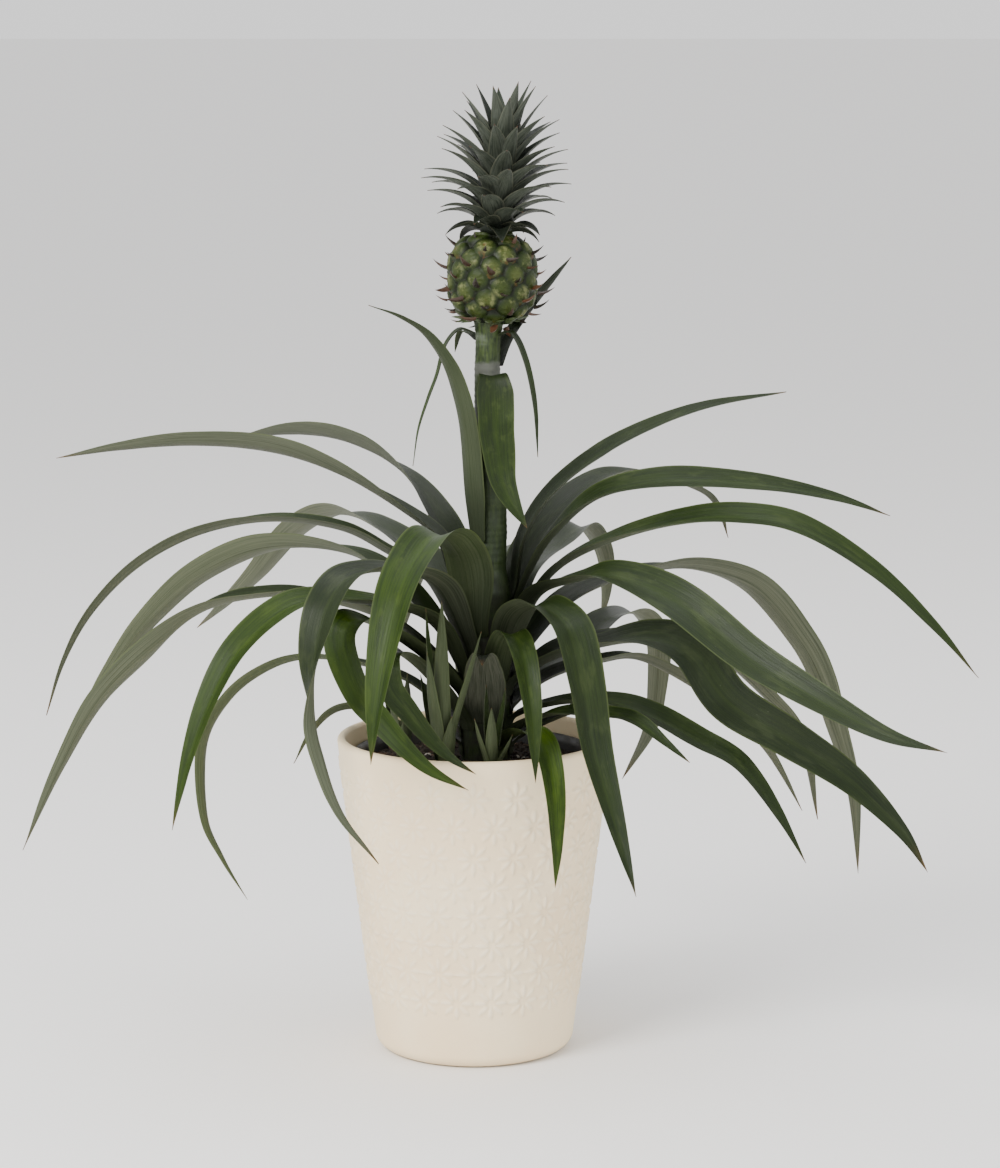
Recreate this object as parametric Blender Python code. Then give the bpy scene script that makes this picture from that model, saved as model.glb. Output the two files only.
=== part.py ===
"""Potted ornamental pineapple: a ceramic cover pot, the nursery pot inside it, soil, and the plant."""

import math
import random

import bmesh
import bpy
import numpy as np

# All lengths in millimetres; MM turns them into the scene's metres.
MM = 0.001
GAP = 0.3  # between pieces that touch

POT_HEIGHT = 162.0
POT_TOP_RADIUS = 70.0
POT_LOW_RADIUS = 51.0  # where the straight wall meets the rounded lower edge
POT_EDGE_ROUND = 8.0
POT_WALL = 4.5
POT_FLOOR = 5.5

NURSERY_FOOT_RADIUS = 41.0
NURSERY_TOP_RADIUS = 60.5
NURSERY_TOP = 154.0
NURSERY_WALL = 1.6
NURSERY_RIM_OUT = 2.2
NURSERY_RIM_DEEP = 6.0
DRAIN_HOLES = 6
DRAIN_RADIUS = 4.0

SOIL_TOP = 148.0
SOIL_MOUND = 2.0

STEM_X = 6.0  # the plant stands a little off the pot's middle
STEM_BASE = 136.0
STEM_RADIUS = 12.5
STEM_SHOULDER = 236.0
FRUIT_BASE = 373.0
FRUIT_RADIUS = 22.3
FRUIT_HEIGHT = 43.5
CROWN_TOP = 490.0
# Height and radius of the stem, then height and lean towards +X of its middle and the fruit's.
STEM_OUTLINE = [(STEM_BASE, STEM_RADIUS - 3), (STEM_BASE + 3, STEM_RADIUS), (190, STEM_RADIUS),
                (STEM_SHOULDER, STEM_RADIUS), (248, 9.2), (262, 8.4), (285, 8.2), (310, 7.6),
                (335, 6.9), (355, 6.2), (366, 6.3), (FRUIT_BASE - GAP, 7.4)]
STALK_LEAN = [(STEM_BASE, STEM_X), (STEM_SHOULDER, STEM_X), (265, 8.4), (310, 8.0), (350, 6.8),
              (FRUIT_BASE, 7.6), (395, 8.8), (417, 11.0), (450, 14.0), (CROWN_TOP, 17.0)]

LEAF_THICK = 1.3
LEAF_RINGS = 16
SHEATH_WIDE = 7.6  # half the leaf's width where it clasps the stem

# The rosette. Each leaf: azimuth of its foot, height of its foot on the stem, half its widest breadth,
# twist of its outer part, then the midrib's route as (outward, up) from the stem. A third number turns
# that point sideways from the azimuth. Azimuths are degrees from +X towards +Y.
LEAVES = {
    "leaf_01": (175, 152, 7, 25, [(44, 166), (63, 174), (78, 172), (90, 160), (99, 145)]),
    "leaf_02": (5, 152, 8, 12, [(40, 171), (63, 176), (79, 174), (100, 166), (121, 154)]),
    "leaf_03": (-40, 157, 8, 18, [(45, 178), (82, 182), (97, 181), (112, 174), (130, 165)]),
    "leaf_04": (-66.5, 151.5, 8, 0, [(45, 171), (62, 173), (75, 167), (84, 148), (87, 122), (86, 101)]),
    "leaf_05": (-15, 165, 10, 28, [(40, 180), (66, 181), (86, 176), (111, 164), (132, 153), (150, 131),
                                   (166, 105)]),
    "leaf_06": (170, 161, 7, 25, [(40, 188), (70, 197), (96, 198), (117, 190), (135, 175), (148, 151),
                                  (148, 114), (139, 92), (126, 70)]),
    "leaf_07": (60, 164, 12, 0, [(60, 186), (105, 195), (133, 202), (164, 200), (186, 183), (186, 154),
                                  (178, 133), (148, 111)]),
    "leaf_08": (18, 171, 10, -15, [(36, 190), (63, 196), (83, 196), (111, 181), (134, 164), (156, 141),
                                  (175, 110)]),
    "leaf_09": (-148, 166, 10, 0, [(40, 200, 0), (63, 213, 10), (83, 212, 21), (86, 199, 25), (83, 187, 31),
                                   (81, 174, 39), (81, 166, 46), (83, 159, 55)]),
    "leaf_10": (95, 174, 11, 0, [(40, 205), (80, 215), (120, 205), (150, 180), (172, 145)]),
    "leaf_11": (28, 177, 11.5, -12, [(45, 202), (85, 206), (103, 207), (127, 200), (164, 170), (190, 141),
                                  (202, 96)]),
    "leaf_12": (-20, 183, 14.5, 55, [(36, 203), (61, 211), (87, 216), (108, 210), (129, 186), (160, 170),
                                    (191, 152), (217, 129), (231, 109)]),
    "leaf_13": (-148, 191.5, 13, -12, [(30, 220), (50, 231), (92, 239), (116, 236), (141, 219), (157, 196),
                                     (169, 168), (179, 134)]),
    "leaf_14": (-145, 177.5, 11, 0, [(40, 207, 0), (71, 226, 4), (89, 230, 7), (95, 220, 8), (94, 198, 14),
                                    (94, 185, 23), (94, 165, 37), (92, 153, 50)]),
    "leaf_15": (-162, 184.5, 12, 56, [(48, 221), (87, 236), (113, 239), (145, 234), (171, 217), (199, 192),
                                       (220, 158), (239, 119)]),
    "leaf_16": (35, 188, 12, -30, [(45, 222), (75, 233), (105, 237), (136, 235), (175, 221), (207, 190),
                                  (222, 167), (232, 141), (246, 102), (251, 54)]),
    "leaf_17": (-58, 195, 13, 0, [(30, 225), (42, 233), (56, 235), (78, 227), (90, 202), (98, 175),
                                   (112, 148), (137, 106)]),
    "leaf_18": (155, 195, 12, 38, [(45, 232), (77, 250), (125, 250), (166, 233), (197, 207), (222, 177),
                                   (248, 140)]),
    "leaf_19": (-92, 170, 12, 0, [(26, 195), (35, 207), (42, 210), (46, 206)]),
    "leaf_20": (125, 206, 12, 20, [(48, 241), (100, 257), (142, 259), (186, 243), (226, 214), (259, 194),
                                   (291, 176)]),
    "leaf_21": (-35, 202, 13, 48, [(32, 236), (55, 246), (77, 250), (116, 240), (156, 218), (201, 199),
                                   (233, 188), (264, 184)]),
    "leaf_22": (-73, 184, 8, 0, [(28, 211), (45, 221), (64, 213), (77, 192), (82, 171), (84, 154)]),
    "leaf_23": (66, 203, 12, 0, [(45, 238), (96, 247), (127, 252), (155, 235), (160, 214), (153, 195)]),
    "leaf_24": (-132, 205, 13, 85, [(36, 242), (63, 253), (96, 255), (116, 243, 1), (127, 219, 2),
                                    (133, 191, 4), (139, 173, 8), (140, 148, 13), (130, 123, 19)]),
    "leaf_25": (105, 198, 12, 0, [(40, 231), (75, 240), (115, 234), (150, 220), (178, 186)]),
    "leaf_26": (-172, 209, 11, 25, [(30, 243), (51, 257), (74, 269), (109, 274), (144, 268), (174, 253),
                                    (197, 231), (212, 206), (222, 178)]),
    "leaf_27": (-12, 211, 11, 28, [(36, 247), (64, 263), (99, 274), (129, 277), (159, 273), (195, 253),
                                   (225, 227), (249, 201)]),
    "leaf_28": (42, 217, 11, 0, [(28, 252), (51, 273), (80, 286), (108, 286), (146, 276), (165, 265),
                                  (175, 246)]),
    "leaf_29": (-115, 214, 14, 0, [(24, 251), (36, 264), (52, 271), (70, 269), (97, 252), (113, 226),
                                    (123, 200), (129, 171)]),
    "leaf_30": (130, 218, 11, 42, [(26, 252), (40, 271), (69, 291), (112, 302), (160, 303), (213, 295)]),
    "leaf_31": (-5, 223, 11, 30, [(24, 248), (35, 265), (58, 285), (93, 293), (133, 292), (173, 286),
                                  (203, 277)]),
    "leaf_32": (84, 211, 11, 0, [(28, 238), (55, 248), (85, 244), (118, 222), (146, 194)]),
    "leaf_33": (168, 227, 10, 42, [(22, 259), (42, 275), (76, 294), (113, 306), (155, 308), (193, 304),
                                   (227, 298)]),
    "leaf_34": (12, 231, 9, 16, [(21, 264), (38, 288), (70, 310), (111, 326), (157, 334)]),
}

# Where along its length a leaf twists: from this share to that one.
TWIST_USUAL = (0.15, 0.55)
TWIST_PLACES = {"leaf_15": (0.42, 0.66), "leaf_24": (0.50, 0.78), "leaf_26": (0.35, 0.70)}

# Leaves on the flower stalk: azimuth, height of the foot, half breadth, half breadth at the foot, route.
BRACTS = {
    "stalk_leaf_01": (-140, 262, 8.5, 6.0, [(13, 290), (16.5, 320), (25, 347), (40, 367), (58, 378),
                                            (77, 385)]),
    "stalk_leaf_02": (-78, 346, 10.0, 6.4, [(14, 345), (17, 332), (19, 315, 2), (22, 295, 8), (33, 272, 25)]),
    "stalk_leaf_03": (-166, 367, 2.8, 3.2, [(15, 369), (22, 361), (26, 347), (31, 334), (36, 319),
                                            (39, 301)]),
    "stalk_leaf_04": (-28, 366, 3.4, 3.2, [(12, 368), (17, 362), (22, 349), (26, 330), (28, 306)]),
    "stalk_leaf_05": (35, 350, 6.0, 5.0, [(13, 362), (23, 374), (37, 388), (52, 403)]),
    "stalk_leaf_06": (140, 363, 3.0, 3.0, [(13, 366), (18, 366), (22, 356)]),
}
BRACT_THICK = 1.0
TAPER = 3.2  # the higher, the later a blade narrows towards its tip

# Side shoots at the foot of the stem: place and radius of the foot, then each blade's azimuth, height
# and lean (how far its tip stands out from the shoot's middle).
SHOOTS = {
    "shoot_01": ((-15, -50), 5.0, [(-60, 40, 9), (150, 58, 13), (-130, 72, 12), (-18, 82, 20), (160, 92, 9),
                                   (-100, 97, 3)]),
    "shoot_02": ((9, -51), 3.6, [(-20, 30, 11), (-160, 38, 9), (-90, 44, 5), (30, 52, 8), (150, 54, 3)]),
    "shoot_03": ((-35, -31), 4.0, [(-90, 34, 10), (150, 48, 12), (-150, 56, 9), (-60, 57, 4)]),
}
SHOOT_FOOT = SOIL_TOP - 5.0

CROWN_LEAVES = 34
GOLDEN_ANGLE = 137.5


def clear_scene():
    for obj in list(bpy.data.objects):
        bpy.data.objects.remove(obj)


def material(name, colour, roughness):
    made = bpy.data.materials.new(name)
    made.use_nodes = True
    shader = made.node_tree.nodes["Principled BSDF"]
    shader.inputs["Base Color"].default_value = (*colour, 1)
    shader.inputs["Roughness"].default_value = roughness
    shader.inputs["Metallic"].default_value = 0.0
    return made


def add_object(name, mesh_build, look):
    """One named object from a bmesh whose coordinates are millimetres."""
    bmesh.ops.recalc_face_normals(mesh_build, faces=mesh_build.faces)
    bmesh.ops.scale(mesh_build, vec=(MM, MM, MM), verts=mesh_build.verts)
    mesh = bpy.data.meshes.new(name)
    mesh_build.to_mesh(mesh)
    mesh_build.free()
    mesh.shade_smooth()
    mesh.materials.append(look)
    obj = bpy.data.objects.new(name, mesh)
    bpy.context.scene.collection.objects.link(obj)
    return obj


def loft(rings, end_point=None, paired=False):
    """A closed bmesh through rings of equal size, ending in a face or, if end_point is given, in a point.

    With paired, the faces are triangles cut alike on both sides of a ring's even points, so the top and
    the underside of a thin twisted blade can't cross.
    """
    built = bmesh.new()
    loops = [[built.verts.new(point) for point in ring] for ring in rings]
    count = len(loops[0])
    for lower, upper in zip(loops, loops[1:]):
        for k in range(count):
            after = (k + 1) % count
            if not paired:
                built.faces.new((lower[k], lower[after], upper[after], upper[k]))
            elif k % 2:
                built.faces.new((lower[k], lower[after], upper[k]))
                built.faces.new((lower[after], upper[after], upper[k]))
            else:
                built.faces.new((lower[k], lower[after], upper[after]))
                built.faces.new((lower[k], upper[after], upper[k]))
    built.faces.new(reversed(loops[0]))
    if end_point is None:
        built.faces.new(loops[-1])
        return built
    tip = built.verts.new(end_point)
    for k in range(count):
        built.faces.new((loops[-1][k], loops[-1][(k + 1) % count], tip))
    return built


def turn_profile(profile, around, centre=(0.0, 0.0)):
    """A solid of revolution whose profile runs from the axis, round the outside, back to the axis."""
    rings = []
    for radius, height in profile[1:-1]:
        angles = [2 * math.pi * k / around for k in range(around)]
        rings.append([(centre[0] + radius * math.cos(a), centre[1] + radius * math.sin(a), height)
                      for a in angles])
    built = loft(rings)
    for face in [f for f in built.faces if len(f.verts) == around]:
        at_start = face.calc_center_median().z < rings[0][0][2] + 0.001
        pole_height = profile[0][1] if at_start else profile[-1][1]
        middle = bmesh.ops.poke(built, faces=[face])["verts"][0]
        middle.co = (centre[0], centre[1], pole_height)
    return built


def smooth_route(points, count):
    """Evenly spaced places along a Catmull-Rom curve through the points: outward, up, sideways turn."""
    points = np.array([(*point, 0)[:3] for point in points], float)
    before = 2 * points[0] - points[1]
    after = 2 * points[-1] - points[-2]
    padded = np.vstack([before, points, after])
    fine = []
    for a, b, c, d in zip(padded, padded[1:], padded[2:], padded[3:]):
        for t in np.linspace(0, 1, 12, endpoint=False):
            cubic = (c - a) * t + (2 * a - 5 * b + 4 * c - d) * t**2 + (3 * b - a - 3 * c + d) * t**3
            fine.append(b + 0.5 * cubic)
    fine = np.array(fine + [points[-1]])
    steps = np.column_stack([np.diff(fine[:, :2], axis=0), fine[1:, 0] * np.radians(np.diff(fine[:, 2]))])
    run = np.concatenate([[0], np.cumsum(np.linalg.norm(steps, axis=1))])
    places = np.linspace(0, run[-1], count)
    return np.column_stack([np.interp(places, run, fine[:, k]) for k in range(3)])


def blade_rings(route, azimuth, twist, centre, half_width, trough, thick, twist_span=TWIST_USUAL):
    """Rings of four points (edge, top, edge, underside) along a strap leaf, and the point of its tip.

    The route's columns are outward, up and sideways turn. half_width and trough are functions of the
    share of the length, and trough is in degrees: the blade's edges stand above its midrib by it. The
    blade takes its twist, in degrees, between the two shares of twist_span.
    """
    count = len(route)
    share = np.linspace(0, 1, count)
    bearing = np.radians(azimuth + route[:, 2])
    spine = np.column_stack([centre[0] + route[:, 0] * np.cos(bearing),
                             centre[1] + route[:, 0] * np.sin(bearing), route[:, 1]])
    ahead = np.gradient(spine, axis=0)
    ahead /= np.linalg.norm(ahead, axis=1)[:, None]
    side = np.array([-math.sin(bearing[0]), math.cos(bearing[0]), 0.0])
    rings = []
    for k in range(count - 1):
        side = side - ahead[k] * (side @ ahead[k])
        side /= np.linalg.norm(side)
        turned = min(1.0, max(0.0, (share[k] - twist_span[0]) / (twist_span[1] - twist_span[0])))
        roll = math.radians(twist) * turned * turned * (3 - 2 * turned)
        across = side * math.cos(roll) + np.cross(ahead[k], side) * math.sin(roll)
        above = np.cross(ahead[k], across)
        reach = half_width(share[k])
        slope = math.radians(trough(share[k]))
        lift = above * reach * math.sin(slope)
        wide = across * reach * math.cos(slope)
        half = above * thick * 0.5 * (1 - 0.6 * share[k])
        rings.append([spine[k] - wide + lift, spine[k] + half, spine[k] + wide + lift, spine[k] - half])
    return rings, spine[-1]


def leaf_width(widest, foot):
    """Half breadth: narrow at the foot, full by a third of the length, then drawn out to a point."""
    def at(share):
        opening = min(1.0, share / 0.3)
        opening = opening * opening * (3 - 2 * opening)
        return (foot + (widest - foot) * opening) * (1 - share**TAPER)
    return at


def leaf_trough(foot_angle, mid_angle):
    def at(share):
        return foot_angle + (mid_angle - foot_angle) * min(1.0, share / 0.25) * (1 - 0.5 * share)
    return at


def cover_pot(look):
    """Tapered ceramic pot with a rounded lower edge and a soft lip, turned from one closed profile."""
    lip = POT_WALL / 2
    slope = (POT_TOP_RADIUS - POT_LOW_RADIUS) / (POT_HEIGHT - POT_EDGE_ROUND)
    profile = [(0.0, 0.0)]
    for k in range(5):
        angle = math.radians(90 * k / 4)
        profile.append((POT_LOW_RADIUS - POT_EDGE_ROUND * (1 - math.sin(angle)),
                        POT_EDGE_ROUND * (1 - math.cos(angle))))
    straight = POT_HEIGHT - lip - POT_EDGE_ROUND
    for share in (0.34, 0.67, 1.0):
        profile.append((POT_LOW_RADIUS + slope * straight * share, POT_EDGE_ROUND + straight * share))
    for k in range(1, 5):
        angle = math.radians(180 * k / 4)
        profile.append((POT_TOP_RADIUS - lip + lip * math.cos(angle),
                        POT_HEIGHT - lip + lip * math.sin(angle)))
    inner_low = POT_LOW_RADIUS - POT_WALL
    profile.append((inner_low + slope * 40, POT_FLOOR + 44))
    profile.append((inner_low, POT_FLOOR + 4))
    profile.append((inner_low - 4, POT_FLOOR))
    profile.append((0.0, POT_FLOOR))
    return add_object("cover_pot", turn_profile(profile, 64), look)


def nursery_pot(look):
    """Thin plastic growing pot with a rolled rim and drain holes in its floor."""
    foot = POT_FLOOR + GAP
    slope = (NURSERY_TOP_RADIUS - NURSERY_FOOT_RADIUS) / (NURSERY_TOP - foot)
    rim_low = NURSERY_TOP - NURSERY_RIM_DEEP
    rim_radius = NURSERY_TOP_RADIUS - slope * NURSERY_RIM_DEEP
    inner_foot = NURSERY_FOOT_RADIUS - NURSERY_WALL
    profile = [
        (0.0, foot), (NURSERY_FOOT_RADIUS - 2, foot), (NURSERY_FOOT_RADIUS, foot + 2),
        (rim_radius, rim_low), (rim_radius + NURSERY_RIM_OUT, rim_low + 1),
        (NURSERY_TOP_RADIUS + NURSERY_RIM_OUT, NURSERY_TOP - 0.8), (NURSERY_TOP_RADIUS + 1.2, NURSERY_TOP),
        (NURSERY_TOP_RADIUS - NURSERY_WALL, NURSERY_TOP - 0.6),
        (inner_foot, foot + 2.5), (inner_foot - 1, foot + NURSERY_WALL), (0.0, foot + NURSERY_WALL),
    ]
    pot = add_object("nursery_pot", turn_profile(profile, 48), look)
    drills = bpy.data.collections.new("drain_drills")
    bpy.context.scene.collection.children.link(drills)
    for k in range(DRAIN_HOLES):
        angle = 2 * math.pi * k / DRAIN_HOLES
        drill = bmesh.new()
        bmesh.ops.create_cone(drill, cap_ends=True, segments=12, radius1=DRAIN_RADIUS, radius2=DRAIN_RADIUS,
                              depth=12)
        reach = NURSERY_FOOT_RADIUS * 0.62
        bmesh.ops.translate(drill, verts=drill.verts,
                            vec=(reach * math.cos(angle), reach * math.sin(angle), foot))
        hide_helper(add_object(f"drain_drill_{k}", drill, look), drills)
    bore = pot.modifiers.new("drain holes", "BOOLEAN")
    bore.operation = "DIFFERENCE"
    bore.operand_type = "COLLECTION"
    bore.collection = drills
    return pot


def hide_helper(obj, group):
    """Keeps a cutter or a shape that a Boolean reads out of the finished object."""
    obj.hide_render = True
    obj.display_type = "WIRE"
    bpy.context.scene.collection.objects.unlink(obj)
    group.objects.link(obj)


def potting_soil(look):
    """Filling of the nursery pot, slightly mounded, with the socket that the plant's stem stands in."""
    foot = POT_FLOOR + GAP + NURSERY_WALL + GAP
    slope = (NURSERY_TOP_RADIUS - NURSERY_FOOT_RADIUS) / (NURSERY_TOP - POT_FLOOR - GAP)
    top_radius = NURSERY_TOP_RADIUS - slope * (NURSERY_TOP - SOIL_TOP) - NURSERY_WALL - 0.6
    socket = STEM_RADIUS + GAP
    wall = NURSERY_FOOT_RADIUS - NURSERY_WALL - 0.6
    profile = [
        (0.0, foot), (wall - 2.6, foot), (wall, foot + 3),
        (top_radius, SOIL_TOP - 2), (top_radius - 2, SOIL_TOP - 0.5), (45.0, SOIL_TOP + SOIL_MOUND * 0.4),
        (28.0, SOIL_TOP + SOIL_MOUND * 0.8),
    ]
    around = 48
    built = turn_profile(profile + [(0.0, SOIL_TOP + SOIL_MOUND)], around)
    soil = add_object("potting_soil", built, look)
    digs = bpy.data.collections.new("soil_digs")
    bpy.context.scene.collection.children.link(digs)
    dig = bmesh.new()
    depth = 40.0
    bmesh.ops.create_cone(dig, cap_ends=True, segments=32, radius1=socket, radius2=socket, depth=depth)
    bmesh.ops.translate(dig, verts=dig.verts, vec=(STEM_X, 0, STEM_BASE - GAP + depth / 2))
    hide_helper(add_object("stem_dig", dig, look), digs)
    for name, (place, foot_radius, _) in SHOOTS.items():
        dig = bmesh.new()
        bmesh.ops.create_cone(dig, cap_ends=True, segments=16, radius1=foot_radius + GAP,
                              radius2=foot_radius + GAP, depth=depth)
        bmesh.ops.translate(dig, verts=dig.verts, vec=(*place, SHOOT_FOOT - GAP + depth / 2))
        hide_helper(add_object(f"{name}_dig", dig, look), digs)
    cut = soil.modifiers.new("sockets", "BOOLEAN")
    cut.operation = "DIFFERENCE"
    cut.operand_type = "COLLECTION"
    cut.collection = digs
    return soil


def between(height, places):
    """A value read at a height between listed (height, value) pairs."""
    return float(np.interp(height, [p[0] for p in places], [p[1] for p in places]))


def stalk_x(height):
    """How far the stalk leans towards +X at each height."""
    return between(height, STALK_LEAN)


def plant_stem(look):
    """Short thick stem under the rosette, drawn up into the flower stalk that carries the fruit."""
    rings = []
    for height, radius in STEM_OUTLINE:
        centre = stalk_x(height)
        rings.append([(centre + radius * math.cos(a), radius * math.sin(a), height)
                      for a in np.linspace(0, 2 * math.pi, 24, endpoint=False)])
    return add_object("plant_stem", loft(rings), look)


def rosette_leaf(name, row, look):
    """A strap leaf whose foot clasps the stem, rises steeply, then arches over."""
    azimuth, foot, widest, twist, route = row
    start = STEM_RADIUS + GAP + LEAF_THICK * 0.5 + 0.15
    rise = math.radians(70)
    root = [(start, foot), (start + 8 * math.cos(rise), foot + 8 * math.sin(rise))]
    places = smooth_route(root + route, LEAF_RINGS)
    rings, tip = blade_rings(places, azimuth, twist, (STEM_X, 0.0), leaf_width(widest, SHEATH_WIDE),
                             leaf_trough(17, 22), LEAF_THICK, TWIST_PLACES.get(name, TWIST_USUAL))
    return add_object(name, loft(rings, tip, paired=True), look)


def stalk_leaf(name, row, look):
    """A narrow leaf on the flower stalk."""
    azimuth, foot, widest, foot_wide, route = row
    start = between(foot, STEM_OUTLINE) + GAP + BRACT_THICK * 0.5 + 0.15
    places = smooth_route([(start, foot)] + route, 10)
    centre = (stalk_x(foot), 0.0)
    rings, tip = blade_rings(places, azimuth, 0, centre, leaf_width(widest, foot_wide),
                             leaf_trough(14, 20), BRACT_THICK)
    return add_object(name, loft(rings, tip, paired=True), look)


def joined(core, pieces):
    """Unites a core with the pieces grown on it, into one closed body."""
    group = bpy.data.collections.new(core.name + "_pieces")
    bpy.context.scene.collection.children.link(group)
    for piece in pieces:
        hide_helper(piece, group)
    union = core.modifiers.new("grown together", "BOOLEAN")
    union.operation = "UNION"
    union.operand_type = "COLLECTION"
    union.collection = group
    union.use_self = True
    return core


def side_shoot(name, row, look):
    """A young plant at the stem's foot: a short core with a tuft of upright leaves."""
    place, radius, blades = row
    base = SHOOT_FOOT
    body = [(0.0, base), (radius - 0.6, base), (radius, base + 1), (radius * 0.9, base + 12),
            (radius * 0.4, base + 24), (0.0, base + 26)]
    core = add_object(name, turn_profile(body, 12, place), look)
    grown = []
    for k, (azimuth, height, lean) in enumerate(blades):
        low = base + 8 + 1.5 * k
        rise = base + height - low
        route = [(radius * 0.4, low), (radius * 0.8 + lean * 0.2, low + rise * 0.35),
                 (radius * 0.6 + lean * 0.6, low + rise * 0.7), (lean, base + height)]
        rings, tip = blade_rings(smooth_route(route, 7), azimuth, 0, place,
                                 leaf_width(radius, radius * 0.75), leaf_trough(30, 25), 1.1)
        grown.append(add_object(f"{name}_blade_{k}", loft(rings, tip), look))
    return joined(core, grown)


def fruit(look):
    """The small compound fruit, a rounded barrel."""
    profile = [(0.0, FRUIT_BASE)]
    for share in (0.0, 0.05, 0.15, 0.3, 0.5, 0.7, 0.85, 0.95, 1.0):
        bulge = (1 - abs(2 * share - 1) ** 3.2) ** 0.45
        profile.append((max(FRUIT_RADIUS * bulge, 9.5), FRUIT_BASE + FRUIT_HEIGHT * share))
    profile.append((0.0, FRUIT_BASE + FRUIT_HEIGHT))
    lean = (stalk_x(FRUIT_BASE) + stalk_x(FRUIT_BASE + FRUIT_HEIGHT)) / 2
    return add_object("pineapple_fruit", turn_profile(profile, 24, (lean, 0.0)), look)


def crown(look, chance):
    """The tuft on the fruit: a short core with leaves that curl down low and stand up at the top."""
    base = FRUIT_BASE + FRUIT_HEIGHT + GAP
    tall = CROWN_TOP - base
    core_rings = []
    for share, radius in ((0.0, 8.0), (0.03, 9.5), (0.3, 8.5), (0.55, 5.5), (0.72, 2.0)):
        height = base + tall * share
        core_rings.append([(stalk_x(height) + radius * math.cos(a), radius * math.sin(a), height)
                           for a in np.linspace(0, 2 * math.pi, 16, endpoint=False)])
    core = add_object("crown", loft(core_rings), look)
    blades = []
    for k in range(CROWN_LEAVES):
        share = k / (CROWN_LEAVES - 1)
        low = base + 3 + tall * 0.48 * share
        rise = math.radians(32 + 54 * share**0.8)
        droop = math.radians(6 + 70 * (1 - share) ** 0.9)
        length = 19 + 15 * min(1.0, share / 0.35) + chance.uniform(-1.5, 1.5)
        route = [(6.8 - 4.8 * share, low)]
        for step in range(4):
            angle = rise - droop * (step / 3) ** 1.5
            route.append((route[-1][0] + length / 4 * math.cos(angle),
                          route[-1][1] + length / 4 * math.sin(angle)))
        rings, tip = blade_rings(smooth_route(route, 6), GOLDEN_ANGLE * k, 0, (stalk_x(low), 0.0),
                                 leaf_width(5.2 - 1.6 * share, 4.6 - 1.8 * share), leaf_trough(28, 22), 1.1)
        blades.append(add_object(f"crown_blade_{k:02d}", loft(rings, tip), look))
    return joined(core, blades)


def build():
    clear_scene()
    chance = random.Random(7)
    ceramic = material("cream ceramic", (0.80, 0.74, 0.66), 0.55)
    plastic = material("black plastic", (0.02, 0.02, 0.02), 0.45)
    earth = material("potting soil", (0.035, 0.022, 0.014), 0.95)
    blade = material("leaf green", (0.07, 0.13, 0.05), 0.45)
    stalk = material("stalk green", (0.09, 0.17, 0.05), 0.5)
    rind = material("fruit green", (0.25, 0.33, 0.12), 0.6)
    tuft = material("crown green", (0.06, 0.10, 0.07), 0.55)
    cover_pot(ceramic)
    nursery_pot(plastic)
    potting_soil(earth)
    plant_stem(stalk)
    for name, row in LEAVES.items():
        rosette_leaf(name, row, blade)
    for name, row in BRACTS.items():
        stalk_leaf(name, row, blade)
    for name, row in SHOOTS.items():
        side_shoot(name, row, blade)
    fruit(rind)
    crown(tuft, chance)


build()
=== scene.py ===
"""Potted ornamental pineapple: cream ceramic cover pot, black growing pot, soil, strap-leaved plant,
flower stalk, small fruit and its crown. All lengths are metres."""

import math

import bpy
import numpy as np
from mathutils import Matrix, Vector


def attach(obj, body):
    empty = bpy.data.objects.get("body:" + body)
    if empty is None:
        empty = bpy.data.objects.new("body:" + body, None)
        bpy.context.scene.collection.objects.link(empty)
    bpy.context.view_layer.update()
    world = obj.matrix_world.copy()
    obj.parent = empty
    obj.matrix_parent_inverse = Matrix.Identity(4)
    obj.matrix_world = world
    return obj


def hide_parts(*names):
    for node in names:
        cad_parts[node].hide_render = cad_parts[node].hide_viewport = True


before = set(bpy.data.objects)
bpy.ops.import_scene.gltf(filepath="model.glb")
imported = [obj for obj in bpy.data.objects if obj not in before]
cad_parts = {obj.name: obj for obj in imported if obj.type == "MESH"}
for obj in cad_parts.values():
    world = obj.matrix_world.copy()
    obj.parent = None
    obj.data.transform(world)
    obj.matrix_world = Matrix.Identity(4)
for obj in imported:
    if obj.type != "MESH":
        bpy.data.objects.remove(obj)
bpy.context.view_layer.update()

# ---- Table, light and camera ----
# The pot stands on a plain pale table top. Daylight reaches it through a large window at the front left,
# with a weaker, lower light from the right, a lamp in the ceiling and white walls all round.


def plain_floor():
    """A wide pale sheet that the pot stands on."""
    mesh = bpy.data.meshes.new("floor")
    reach = 60.0
    mesh.from_pydata([(-reach, -reach, 0), (reach, -reach, 0), (reach, reach, 0), (-reach, reach, 0)], [],
                     [(0, 1, 2, 3)])
    floor = bpy.data.objects.new("floor", mesh)
    bpy.context.scene.collection.objects.link(floor)
    paint = bpy.data.materials.new("table top")
    paint.use_nodes = True
    shader = paint.node_tree.nodes["Principled BSDF"]
    shader.inputs["Base Color"].default_value = (0.88, 0.87, 0.86, 1)
    shader.inputs["Roughness"].default_value = 0.75
    mesh.materials.append(paint)


def area_light(name, place, aim, size, watts, colour=(1, 1, 1)):
    """A square soft light at a place, turned to face the aim."""
    lamp = bpy.data.lights.new(name, "AREA")
    lamp.size = size
    lamp.energy = watts
    lamp.color = colour
    obj = bpy.data.objects.new(name, lamp)
    bpy.context.scene.collection.objects.link(obj)
    obj.location = place
    way = Vector(aim) - Vector(place)
    obj.rotation_euler = way.to_track_quat("-Z", "Y").to_euler()


def white_room(strength):
    """Even white light from the walls and the ceiling."""
    world = bpy.data.worlds.new("white room")
    world.use_nodes = True
    sky = world.node_tree.nodes["Background"]
    sky.inputs["Color"].default_value = (1.0, 1.0, 1.0, 1)
    sky.inputs["Strength"].default_value = strength
    bpy.context.scene.world = world


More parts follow.
